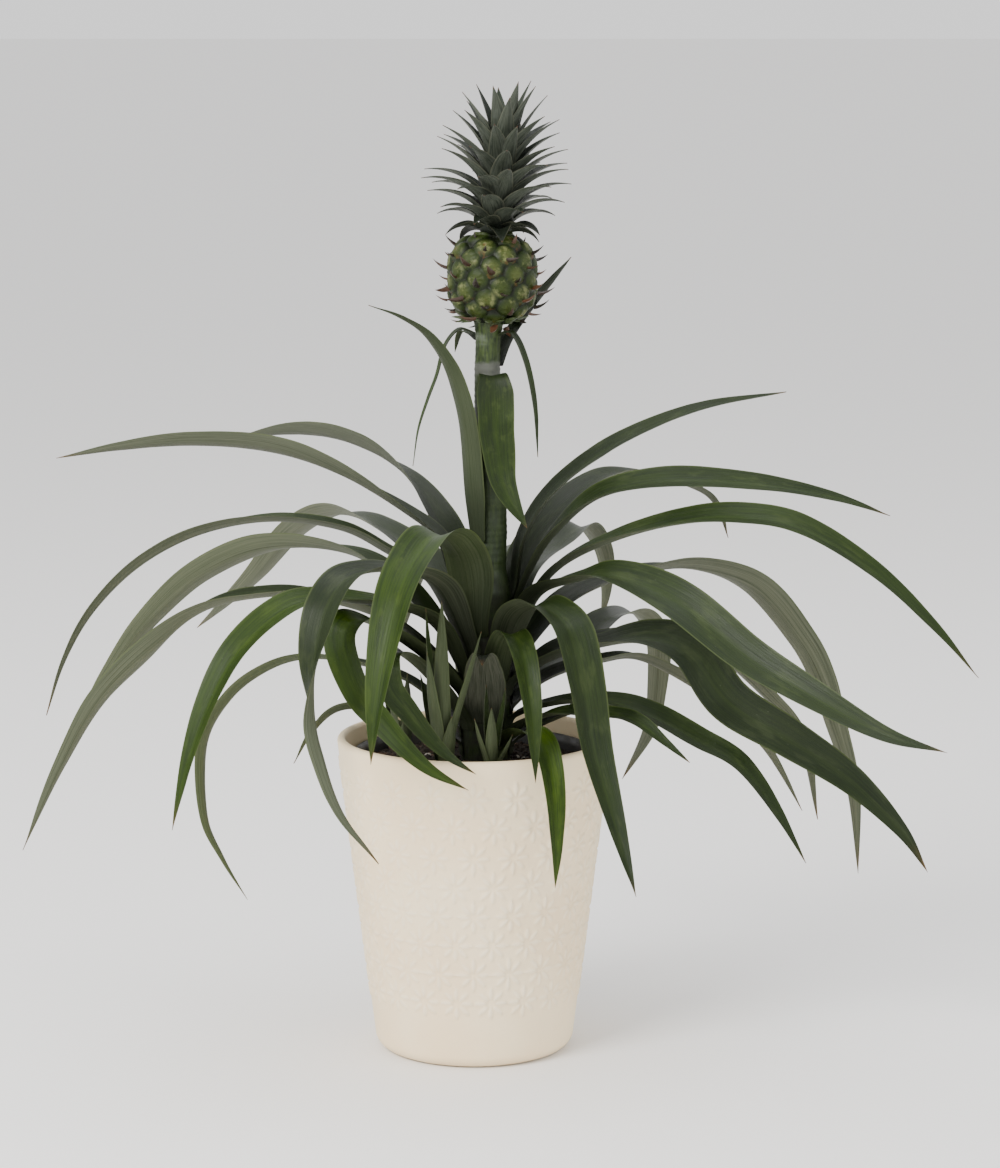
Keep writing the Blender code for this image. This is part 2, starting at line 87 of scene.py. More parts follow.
def set_camera():
    """A long lens a little higher than the crown, tipped down."""
    lens = bpy.data.cameras.new("camera")
    lens.sensor_width = 36
    lens.lens = 110.96
    camera = bpy.data.objects.new("camera", lens)
    camera.location = (0.0132, -1.8, 0.528)
    camera.rotation_euler = (math.radians(80.9), 0, 0)
    bpy.context.scene.collection.objects.link(camera)
    bpy.context.scene.camera = camera


plain_floor()
area_light("window light", (-1.1, -1.3, 1.35), (0.0, 0.0, 0.25), 0.9, 52, (1.0, 0.985, 0.955))
area_light("right light", (1.5, -0.9, 0.9), (0.0, 0.0, 0.25), 1.2, 8)
area_light("ceiling light", (0.1, 0.3, 1.9), (0.0, 0.0, 0.2), 1.4, 14)
white_room(1.2)
set_camera()

# ---- Cover pot ----
# Slip-cast earthenware, tapered, with a rounded foot and a soft lip, under a matte cream glaze. Rows of
# eight-petalled flowers, each row set half a flower along from the last, stand up from the wall in low
# relief between a plain foot and a plain rim. The casting keeps them soft.


class Wire:
    """An output of a node. Sums of wires add the nodes that work them out."""

    def __init__(self, net, socket):
        self.net = net
        self.socket = socket

    def out(self, name):
        """Another output of the same node."""
        return Wire(self.net, self.net.socket(self.socket.node.outputs, name))

    def sum(self, operation, *terms):
        flat = all(isinstance(term, (int, float)) or getattr(term, "single", False) for term in terms)
        kind = "ShaderNodeMath" if flat else "ShaderNodeVectorMath"
        return self.net.node(kind, {"operation": operation}, dict(enumerate(terms)))

    @property
    def single(self):
        return self.socket.type not in ("VECTOR", "RGBA")

    def __rsub__(self, other):
        return self.sum("SUBTRACT", other, self)

    def length(self):
        return self.net.node("ShaderNodeVectorMath", {"operation": "LENGTH"}, {0: self})

    def ramp(self, low, high, start=0.0, end=1.0):
        """From start to end as this goes from low to high, eased at both."""
        return self.net.node("ShaderNodeMapRange", {"interpolation_type": "SMOOTHSTEP"},
                             {"Value": self, "From Min": low, "From Max": high, "To Min": start,
                              "To Max": end})


def math_method(operation):
    return lambda wire, *others: wire.sum(operation, wire, *others)


# Each sign or name on a wire, and the node operation it adds. a.bearing(b) is the angle whose tangent is a/b.
for sign, operation in (
        ("__add__", "ADD"), ("__radd__", "ADD"), ("__sub__", "SUBTRACT"), ("__mul__", "MULTIPLY"),
        ("__rmul__", "MULTIPLY"), ("__truediv__", "DIVIDE"), ("__pow__", "POWER"), ("__abs__", "ABSOLUTE"),
        ("__gt__", "GREATER_THAN"), ("__lt__", "LESS_THAN"), ("__mod__", "FLOORED_MODULO"), ("sin", "SINE"),
        ("cos", "COSINE"), ("floor", "FLOOR"), ("least", "MINIMUM"), ("most", "MAXIMUM"),
        ("cross", "CROSS_PRODUCT"), ("unit", "NORMALIZE"), ("bearing", "ARCTAN2")):
    setattr(Wire, sign, math_method(operation))


class Net:
    """A node tree being wired up."""

    def __init__(self, tree):
        self.tree = tree
        self.entry = None

    def socket(self, sockets, key):
        """A socket by name, or by its place among those in use."""
        used = [one for one in sockets if one.enabled]
        if isinstance(key, int):
            return used[key]
        return next(one for one in used if one.name == key)

    def node(self, kind, settings=None, values=None):
        """Adds a node, sets it, fills its inputs, and gives its first output."""
        made = self.tree.nodes.new(kind)
        for name, value in (settings or {}).items():
            setattr(made, name, value)
        for name, value in (values or {}).items():
            self.put(self.socket(made.inputs, name), value)
        used = [one for one in made.outputs if one.enabled]
        return Wire(self, used[0]) if used else None

    def put(self, socket, value):
        if isinstance(value, Wire):
            self.tree.links.new(value.socket, socket)
        elif socket.type == "VECTOR" and isinstance(value, (int, float)):
            socket.default_value = (value, value, value)
        elif socket.type == "RGBA" and len(value) == 3:
            socket.default_value = (*value, 1)
        else:
            socket.default_value = value

    def mix(self, share, first, second):
        """first where share is 0, second where it is 1."""
        plain = all(isinstance(v, (int, float)) or getattr(v, "single", False) for v in (first, second))
        return self.node("ShaderNodeMix", {"data_type": "FLOAT" if plain else "RGBA"},
                         {"Factor": share, "A": first, "B": second})

    def layers(self, colour, *coats):
        """The colour with each coat laid over it in turn, given as (how much of it, its colour)."""
        for share, over in coats:
            colour = self.mix(share, colour, over)
        return colour

    def vector(self, x, y, z):
        return self.node("ShaderNodeCombineXYZ", {}, {"X": x, "Y": y, "Z": z})

    def parts(self, vector):
        apart = self.node("ShaderNodeSeparateXYZ", {}, {"Vector": vector})
        return apart.out("X"), apart.out("Y"), apart.out("Z")

    def noise(self, vector, scale, detail=3.0, rough=0.5):
        """Cloudy values about 0.5. A feature is about 1/scale across."""
        return self.node("ShaderNodeTexNoise", {}, {"Vector": vector, "Scale": scale, "Detail": detail,
                                                    "Roughness": rough})

    def inlets(self, kind, *names):
        """Named inputs of a geometry tree, all of one kind."""
        for name in names:
            self.tree.interface.new_socket(name=name, in_out="INPUT", socket_type="NodeSocket" + kind)
        if self.entry is None:
            self.entry = self.tree.nodes.new("NodeGroupInput")
        wires = [Wire(self, self.socket(self.entry.outputs, name)) for name in names]
        return wires if len(wires) > 1 else wires[0]

    def position(self):
        return self.node("GeometryNodeInputPosition")

    def move(self, geometry, **where):
        """Moves every point by an Offset, or to a Position."""
        return self.node("GeometryNodeSetPosition", {}, {"Geometry": geometry, **where})

    def chance(self, low, high, seed, **others):
        """A random number or vector for each point."""
        kind = "FLOAT_VECTOR" if isinstance(low, tuple) else "FLOAT"
        return self.node("FunctionNodeRandomValue", {"data_type": kind},
                         {"Min": low, "Max": high, "Seed": seed, **others})

    def copies(self, points, shape, **others):
        """The shape set on every point."""
        return self.node("GeometryNodeInstanceOnPoints", {}, {"Points": points, "Instance": shape, **others})

    def join(self, *pieces):
        joined = self.node("GeometryNodeJoinGeometry")
        for piece in pieces:
            self.tree.links.new(piece.socket, joined.socket.node.inputs[0])
        return joined

    def coat(self, geometry, look):
        return self.node("GeometryNodeSetMaterial", {}, {"Geometry": geometry, "Material": look})

    def keep(self, geometry, name, value, domain="POINT"):
        """Stores a value on the geometry, for its finish to read."""
        return self.node("GeometryNodeStoreNamedAttribute", {"data_type": "FLOAT", "domain": domain},
                         {"Geometry": geometry, "Name": name, "Value": value})

    def stored(self, name, kind="FLOAT"):
        return self.node("GeometryNodeInputNamedAttribute", {"data_type": kind}, {"Name": name})

    def result(self, geometry, look=None):
        """Ends a geometry tree: real faces, in their finish."""
        geometry = self.node("GeometryNodeRealizeInstances", {}, {"Geometry": geometry})
        if look is not None:
            geometry = self.coat(geometry, look)
        self.tree.interface.new_socket(name="Geometry", in_out="OUTPUT", socket_type="NodeSocketGeometry")
        end = self.tree.nodes.new("NodeGroupOutput")
        self.tree.links.new(geometry.socket, end.inputs[0])
        return self.tree


def geometry_net(name):
    return Net(bpy.data.node_groups.new(name, "GeometryNodeTree"))


def finish(name, base, roughness, **others):
    """A material's tree with its shader ready: plain values are set, wires are for the caller to put."""
    made = bpy.data.materials.new(name)
    made.use_nodes = True
    net = Net(made.node_tree)
    net.made = made
    net.shader = made.node_tree.nodes["Principled BSDF"]
    net.shader.inputs["Base Color"].default_value = (*base, 1)
    net.shader.inputs["Roughness"].default_value = roughness
    for socket, value in others.items():
        net.shader.inputs[socket.replace("_", " ")].default_value = value
    net.place = net.node("ShaderNodeTexCoord").out("Object")
    return net


def dress(net, colour, roughness, bump, height, strength):
    """Wires colour, roughness and surface height to a finish's shader, and gives the material."""
    raised = net.node("ShaderNodeBump", {}, {"Strength": strength, "Distance": height, "Height": bump})
    for name, value in (("Base Color", colour), ("Roughness", roughness), ("Normal", raised)):
        net.put(net.shader.inputs[name], value)
    return net.made


def attributes(net, *names):
    """The values that a mesh keeps under these names."""
    wires = [net.node("ShaderNodeAttribute", {"attribute_name": name}).out("Fac") for name in names]
    return wires if len(wires) > 1 else wires[0]


def grow(tree, seed, **sizes):
    """Runs a geometry tree on a mesh and gives the plain mesh it makes."""
    carrier = bpy.data.objects.new("seed", seed)
    bpy.context.scene.collection.objects.link(carrier)
    growth = carrier.modifiers.new("growth", "NODES")
    growth.node_group = tree
    for item in tree.interface.items_tree:
        given = item.name.replace(" ", "_")
        if item.in_out == "INPUT" and given in sizes:
            growth[item.identifier] = sizes[given]
    graph = bpy.context.evaluated_depsgraph_get()
    mesh = bpy.data.meshes.new_from_object(carrier.evaluated_get(graph), preserve_all_data_layers=True,
                                           depsgraph=graph)
    bpy.data.objects.remove(carrier)
    return mesh


def add_piece(name, mesh, node, sharp=50):
    """Puts a finished mesh in the scene as the piece that stands for a node."""
    mesh.name = name
    mesh.shade_smooth()
    mesh.set_sharp_from_angle(angle=math.radians(sharp))
    piece = bpy.data.objects.new(name, mesh)
    bpy.context.scene.collection.objects.link(piece)
    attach(piece, "root")
    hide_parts(node)


def turned(profile, around, centre=(0.0, 0.0)):
    """A closed solid of revolution. The profile runs from the axis at the bottom, out and round, back to
    the axis."""
    points = [(centre[0], centre[1], profile[0][1])]
    for radius, height in profile[1:-1]:
        for k in range(around):
            angle = 2 * math.pi * k / around
            points.append((centre[0] + radius * math.cos(angle), centre[1] + radius * math.sin(angle),
                           height))
    points.append((centre[0], centre[1], profile[-1][1]))
    faces = []
    rows = len(profile) - 2
    last = len(points) - 1
    for k in range(around):
        after = (k + 1) % around
        faces.append((0, 1 + after, 1 + k))
        faces.append((last, 1 + (rows - 1) * around + k, 1 + (rows - 1) * around + after))
        for row in range(rows - 1):
            low = 1 + row * around
            faces.append((low + k, low + after, low + around + after, low + around + k))
    mesh = bpy.data.meshes.new("turned")
    mesh.from_pydata(points, [], faces)
    return mesh


POT_HEIGHT = 0.162
POT_TOP_RADIUS = 0.070
POT_LOW_RADIUS = 0.051
POT_EDGE_ROUND = 0.008
POT_WALL = 0.0045
POT_FLOOR = 0.0055
RELIEF_LOW = 0.0215
RELIEF_HIGH = 0.155
PETALS = 8
PIECE_GAP = 0.0003


def pot_radius(height):
    """Outside radius of the straight wall."""
    share = (height - POT_EDGE_ROUND) / (POT_HEIGHT - POT_EDGE_ROUND)
    return POT_LOW_RADIUS + (POT_TOP_RADIUS - POT_LOW_RADIUS) * share


def pot_profile():
    """Under the foot, up the outside in fine steps, over the lip and down inside."""
    lip = POT_WALL / 2
    outline = [(0.0, 0.0012), (0.030, 0.0012), (0.0335, 0.0004), (0.035, 0.0), (0.039, 0.0)]
    for k in range(7):
        angle = math.radians(90 * k / 6)
        outline.append((POT_LOW_RADIUS - POT_EDGE_ROUND * (1 - math.sin(angle)),
                        POT_EDGE_ROUND * (1 - math.cos(angle))))
    for height in np.linspace(POT_EDGE_ROUND, POT_HEIGHT - lip, 168)[1:]:
        outline.append((pot_radius(height), height))
    top = pot_radius(POT_HEIGHT - lip)
    for k in range(1, 9):
        angle = math.radians(180 * k / 8)
        outline.append((top - lip + lip * math.cos(angle), POT_HEIGHT - lip + lip * math.sin(angle)))
    for height in (0.15, 0.13, 0.1, 0.06, 0.03, 0.014):  # down the inside of the wall
        outline.append((pot_radius(height) - POT_WALL, height))
    outline += [(POT_LOW_RADIUS - POT_WALL - 0.002, 0.0075), (POT_LOW_RADIUS - POT_WALL - 0.006, POT_FLOOR),
                (0.0, POT_FLOOR)]
    return outline


def petal_relief():
    """Raises the flowers: in each cell of a staggered grid, eight lens-shaped petals round a centre."""
    net = geometry_net("petal relief")
    body = net.inlets("Geometry", "Geometry")
    columns, pitch, low, count = net.inlets("Float", "Columns", "Row Pitch", "Lowest Row", "Rows")
    petal, width, raised = net.inlets("Float", "Petal Length", "Petal Half Width", "Height")
    x, y, z = net.parts(net.position())
    radius = (x * x + y * y) ** 0.5
    turn = y.bearing(x) / (2 * math.pi)
    row = ((z - low) / pitch + 0.5).floor()
    up = z - low - row * pitch
    reliefs = []
    # Petals reach into the cells round their own, so each place also looks at the two nearest rows.
    for step in (-1, 0, 1):
        moved = ((row + step) % 2.0) * 0.5
        side = ((turn * columns + moved) % 1.0 - 0.5) * (radius * (2 * math.pi)) / columns
        rise = up - pitch * step
        reach = (side * side + rise * rise) ** 0.5
        angle = rise.bearing(side)
        off = (angle + math.pi / PETALS) % (2 * math.pi / PETALS) - math.pi / PETALS
        aside = abs(reach * off.sin())
        along = ((reach - petal * 0.17) / (petal * 0.83)).most(0.0).least(1.0)
        lens = (along * math.pi).sin() * width
        body_height = (1 - aside / lens.most(0.00005)).most(0.0)
        dome = (body_height * (2 - body_height)) ** 0.7
        inside = ((row + step) > -0.5) * ((row + step) < count - 0.5)
        reliefs.append(dome * (lens > 0.0001) * inside)
    relief = reliefs[0].most(reliefs[1]).most(reliefs[2])
    relief = relief * net.stored("outer")
    outward = net.vector(x / radius, y / radius, 0.0)
    body = net.keep(body, "relief", relief)
    return net.result(net.move(body, Offset=outward * (relief * raised)))


def ceramic():
    """Matte cream glaze: faintly mottled, thinner and paler on the raised petals, with fine grain and painted
    shade at the foot.
    """
    net = finish("cream glaze", (0.85, 0.72, 0.54), 0.5, IOR=1.45, Coat_Weight=0.06, Coat_Roughness=0.35)
    cloud = net.noise(net.place, 22.0, 4.0, 0.55)
    fleck = net.noise(net.place, 700.0, 2.0, 0.6)
    grain = net.noise(net.place, 2600.0, 2.0, 0.5)
    relief = attributes(net, "relief")
    x, y, z = net.parts(net.place)
    # Painted shade: the glaze is darkened towards the foot, where the pot turns under and meets the table.
    table_contact_shade = (1 - z.ramp(0.0, 0.006)) * 0.25
    colour = net.layers(
        (0.915, 0.730, 0.462),
        (cloud.ramp(0.35, 0.68), (0.950, 0.790, 0.525)),
        (relief.ramp(0.15, 0.9) * 0.30, (0.96, 0.86, 0.69)),
        (fleck.ramp(0.66, 0.74) * 0.12, (0.52, 0.44, 0.36)),
        (table_contact_shade, (0.46, 0.40, 0.34)))
    rough = cloud.ramp(0.3, 0.7, 0.42, 0.56)
    surface = grain * 0.25 + net.noise(net.place, 160.0, 3.0) * 0.9
    return dress(net, colour, rough, surface, 0.00022, 0.6)


def cover_pot():
    mesh = turned(pot_profile(), 500)
    outer = mesh.attributes.new("outer", "FLOAT", "POINT")
    places = np.array([point.co for point in mesh.vertices])
    radius = np.hypot(places[:, 0], places[:, 1])
    wall = pot_radius(places[:, 2]) - radius
    straight = (places[:, 2] > RELIEF_LOW) & (places[:, 2] < RELIEF_HIGH) & (wall < 0.001)
    outer.data.foreach_set("value", straight.astype(np.float32))
    made = grow(petal_relief(), mesh, Columns=20.0, Row_Pitch=0.0153, Lowest_Row=0.0355, Rows=8.0,
                Petal_Length=0.0088, Petal_Half_Width=0.00145, Height=0.00075)
    made.materials.clear()
    made.materials.append(ceramic())
    add_piece("cover_pot_glazed", made, "cover_pot", 60)


cover_pot()

# ---- Growing pot ----
# Thin black polypropylene pot, injection moulded, dropped loose into the cover pot. Its rolled rim shows
# above the soil, dusty with potting mix and scuffed grey at the edge.

NURSERY_FOOT_RADIUS = 0.041
NURSERY_TOP_RADIUS = 0.0605
NURSERY_TOP = 0.154
NURSERY_WALL = 0.0016


def nursery_outline():
    foot = POT_FLOOR + PIECE_GAP
    slope = (NURSERY_TOP_RADIUS - NURSERY_FOOT_RADIUS) / (NURSERY_TOP - foot)
    rim_low = NURSERY_TOP - 0.006
    rim_radius = NURSERY_TOP_RADIUS - slope * 0.006
    outline = [(0.0, foot), (0.038, foot), (0.0402, foot + 0.0006), (NURSERY_FOOT_RADIUS, foot + 0.002)]
    for height in np.linspace(foot + 0.02, rim_low - 0.0015, 9):
        outline.append((NURSERY_FOOT_RADIUS + slope * (height - foot), height))
    rolled = rim_radius + 0.0022
    outline += [(rim_radius, rim_low), (rolled - 0.0006, rim_low + 0.0003), (rolled, rim_low + 0.001)]
    outline += [(rolled + 0.0002, NURSERY_TOP - 0.0015), (rolled - 0.0001, NURSERY_TOP - 0.0006)]
    outline += [(rolled - 0.0009, NURSERY_TOP), (NURSERY_TOP_RADIUS - 0.0006, NURSERY_TOP - 0.0001)]
    outline += [(NURSERY_TOP_RADIUS - NURSERY_WALL, NURSERY_TOP - 0.0009)]
    inner = NURSERY_FOOT_RADIUS - NURSERY_WALL
    outline += [(NURSERY_TOP_RADIUS - NURSERY_WALL - slope * 0.004, NURSERY_TOP - 0.004)]
    outline += [(inner + slope * 0.1, foot + 0.1), (inner, foot + 0.0025)]
    return outline + [(inner - 0.001, foot + NURSERY_WALL), (0.0, foot + NURSERY_WALL)]


def black_plastic():
    net = finish("black plastic", (0.016, 0.016, 0.017), 0.42, IOR=1.49)
    x, y, z = net.parts(net.place)
    dust = net.noise(net.place, 110.0, 5.0, 0.65)
    scuff = net.noise(net.vector(x, y, z * 6.0), 300.0, 3.0, 0.6)
    rim = z.ramp(NURSERY_TOP - 0.0035, NURSERY_TOP - 0.0005)
    colour = net.mix(dust.ramp(0.48, 0.72) * 0.75, (0.014, 0.014, 0.015), (0.075, 0.056, 0.040))
    colour = net.mix(scuff.ramp(0.55, 0.70) * rim * 0.5, colour, (0.14, 0.135, 0.13))
    rough = dust.ramp(0.4, 0.7, 0.36, 0.75)
    return dress(net, colour, rough, dust + scuff * 0.3, 0.00025, 0.6)


def nursery_pot():
    mesh = turned(nursery_outline(), 200)
    mesh.materials.append(black_plastic())
    add_piece("nursery_pot_moulded", mesh, "nursery_pot", 60)


nursery_pot()

# ---- Potting soil ----
# Peat-based mix, settled a little below the growing pot's rim and heaped towards the stem: a dark crumbly
# bed with loose crumbs, flakes of bark and a few white grains of perlite lying on it.

SOIL_TOP = 0.148
BED_AREA = 0.0105
STEM_X = 0.006


def soil_bed():
    """The filled inside of the growing pot, as one closed lump with a finely stepped top."""
    foot = POT_FLOOR + PIECE_GAP + NURSERY_WALL + PIECE_GAP
    wall = NURSERY_FOOT_RADIUS - NURSERY_WALL - 2 * PIECE_GAP
    slope = (NURSERY_TOP_RADIUS - NURSERY_FOOT_RADIUS) / (NURSERY_TOP - POT_FLOOR - PIECE_GAP)
    top = NURSERY_TOP_RADIUS - slope * (NURSERY_TOP - SOIL_TOP) - NURSERY_WALL - 2 * PIECE_GAP
    outline = [(0.0, foot), (wall - 0.0026, foot), (wall, foot + 0.003), (top, SOIL_TOP - 0.002)]
    for share in np.linspace(0.985, 0.02, 60):
        radius = top * share
        outline.append((radius, SOIL_TOP - 0.0012 + 0.0028 * math.cos(share * math.pi / 2)))
    outline.append((0.0, SOIL_TOP + 0.0018))
    return turned(outline, 180)


def soil_crumbs(look):
    """Roughens the top of the bed and strews crumbs, bark flakes and perlite on it."""
    net = geometry_net("soil crumbs")
    bed = net.inlets("Geometry", "Geometry")
    crumbs, flakes, grains = net.inlets("Int", "Crumbs", "Flakes", "Perlite")
    place = net.position()
    x, y, z = net.parts(place)
    top = z.ramp(SOIL_TOP - 0.0025, SOIL_TOP - 0.0012)
    lumps = net.noise(place, 170.0, 5.0, 0.62) - 0.5
    clods = net.noise(place, 60.0, 2.0, 0.5) - 0.5
    bed = net.move(bed, Offset=net.vector(0.0, 0.0, (lumps * 0.0032 + clods * 0.003) * top))
    bed = net.keep(bed, "tone", 0.0)
    kinds = []
    crumb = net.node("GeometryNodeMeshIcoSphere", {}, {"Radius": 0.0011, "Subdivisions": 1})
    flake = net.node("GeometryNodeMeshCube", {}, {"Size": (0.0055, 0.0026, 0.0009), "Vertices X": 3})
    grain = net.node("GeometryNodeMeshIcoSphere", {}, {"Radius": 0.0014, "Subdivisions": 2})
    # Each kind: its shape, how many, smallest and largest scale, and tone.
    strewing = ((crumb, crumbs, 0.45, 1.9, 0.25), (flake, flakes, 0.4, 1.2, 0.6),
                (grain, grains, 0.5, 1.1, 1.0))
    for k, (shape, count, low, high, tone) in enumerate(strewing):
        spots = net.node("GeometryNodeDistributePointsOnFaces", {"distribute_method": "RANDOM"},
                         {"Mesh": bed, "Selection": z > SOIL_TOP - 0.0022,
                          "Density": count / BED_AREA, "Seed": 11 + k})
        size = net.chance((low, low, low * 0.8), (high, high, high * 0.9), 31 + k)
        spin = net.chance((-0.5, -0.5, 0.0), (0.5, 0.5, 6.28), 51 + k)
        strewn = net.copies(spots, shape, Rotation=spin, Scale=size)
        shade = net.chance(tone - 0.1, tone, 71 + k)
        kinds.append(net.keep(strewn, "tone", shade, domain="INSTANCE"))
    return net.result(net.join(bed, *kinds), look)


def earth():
    """Dark brown peat, with tan bark and off-white perlite picked out by each grain's tone."""
    net = finish("potting mix", (0.03, 0.02, 0.014), 0.95)
    tone = attributes(net, "tone")
    blotch = net.noise(net.place, 260.0, 5.0, 0.6)
    fine = net.noise(net.place, 1800.0, 4.0, 0.6)
    bark = net.mix(fine.ramp(0.35, 0.65), (0.055, 0.030, 0.017), (0.17, 0.10, 0.06))
    colour = net.layers(
        (0.012, 0.008, 0.006),
        (blotch.ramp(0.35, 0.7), (0.050, 0.033, 0.022)),
        (tone.ramp(0.1, 0.3) * 0.5, (0.060, 0.040, 0.027)),
        (tone.ramp(0.42, 0.5), bark),
        (tone.ramp(0.8, 0.88), (0.50, 0.46, 0.40)))
    return dress(net, colour, blotch.ramp(0.3, 0.7, 0.85, 1.0), fine + blotch, 0.0006, 0.9)


def potting_soil():
    bed = soil_bed()
    look = earth()
    made = grow(soil_crumbs(look), bed, Crumbs=1500, Flakes=110, Perlite=26)
    add_piece("potting_soil_crumbly", made, "potting_soil", 60)


potting_soil()

# ---- Stem and flower stalk ----
# A short thick stem, all but hidden by leaf feet, drawn up into one round flower stalk that leans a little.
# The stalk is smooth and mid green, dusted with grey scurf in bands where old scales have dropped.

STEM_OUTLINE = [(0.136, 0.0095), (0.139, 0.0125), (0.190, 0.0125), (0.236, 0.0125), (0.248, 0.0092),
                (0.262, 0.0084), (0.285, 0.0082), (0.310, 0.0076), (0.335, 0.0069), (0.355, 0.0062),
                (0.366, 0.0063), (0.3727, 0.0074)]
STALK_LEAN = [(0.136, 0.006), (0.236, 0.006), (0.265, 0.0084), (0.310, 0.0080), (0.350, 0.0068),
              (0.373, 0.0076), (0.395, 0.0088), (0.417, 0.0110), (0.450, 0.0140), (0.490, 0.0170)]


def between(height, places):
    """A value read at a height between listed (height, value) pairs."""
    return float(np.interp(height, [p[0] for p in places], [p[1] for p in places]))


def stalk_x(height):
    return between(height, STALK_LEAN)


def leaned(mesh):
    """Moves each level of an upright turned mesh over by the stalk's lean."""
    for point in mesh.vertices:
        point.co.x += stalk_x(point.co.z)
    return mesh


def band(height, low, high, fade):
    """1 between two heights, 0 outside them, fading at both."""
    return height.ramp(low, low + fade) * (1 - height.ramp(high - fade, high))


def stalk_skin():
    """Green stalk with fine lengthwise ribs, grey scurf in bands near the fruit, painted shade where it
    stands among the leaves, brown scars low down.
    """
    net = finish("stalk skin", (0.09, 0.15, 0.04), 0.5, IOR=1.42)
    x, y, z = net.parts(net.place)
    drawn = net.vector(x * 5.0, y * 5.0, z)
    ribs = net.noise(drawn, 130.0, 3.0, 0.6)
    patch = net.noise(net.vector(x, y, z * 2.0), 85.0, 4.0, 0.6)
    uneven = z + (patch - 0.5) * 0.006
    low_band = band(uneven, 0.3450, 0.3540, 0.0025)
    high_band = band(z, 0.3600, 0.3685, 0.0030) * (1 - x.ramp(0.003, 0.009))
    colour = net.layers(
        (0.010, 0.020, 0.003),
        (ribs.ramp(0.35, 0.65), (0.034, 0.056, 0.009)),
        (low_band * patch.ramp(0.30, 0.50) * 0.85, (0.102, 0.106, 0.092)),
        (high_band * patch.ramp(0.32, 0.6) * 0.7, (0.13, 0.15, 0.12)),
        # Painted shade: the stalk is darker lower down, where it stands among the leaves.
        ((1 - z.ramp(0.30, 0.345)) * 0.6, (0.010, 0.018, 0.005)),
        ((1 - z.ramp(0.225, 0.25)) * patch.ramp(0.35, 0.6), (0.014, 0.015, 0.007)))
    rough = patch.ramp(0.3, 0.7, 0.42, 0.7)
    return dress(net, colour, rough, ribs * 0.7 + patch * 0.6, 0.0005, 0.7)


def plant_stem():
    outline = [(0.0, STEM_OUTLINE[0][0])]
    for height in np.linspace(STEM_OUTLINE[0][0], STEM_OUTLINE[-1][0], 230):
        scar = 0.00022 * math.sin(height * 950) ** 8 if height > 0.25 else 0.0
        outline.append((between(height, STEM_OUTLINE) + scar, height))
    outline.append((0.0, STEM_OUTLINE[-1][0]))
    mesh = leaned(turned(outline, 64))
    mesh.materials.append(stalk_skin())
    add_piece("plant_stem_ribbed", mesh, "plant_stem")


plant_stem()

# ---- Rosette leaves ----
# Thirty-four strap leaves clasp the stem in a spiral, rise steeply, then arch over and taper to a point.
# Each is a channelled blade, a millimetre or so thick: glossy green with fine lengthwise veins and a thin
# pale edge above, silvered with scurf underneath, often browned at the tip.

STEM_RADIUS = 0.0125
SHEATH_WIDE = 0.0076
LEAF_THICK = 0.0010
ROUTE_POINTS = 97
SKIN_JOIN = 0.000008

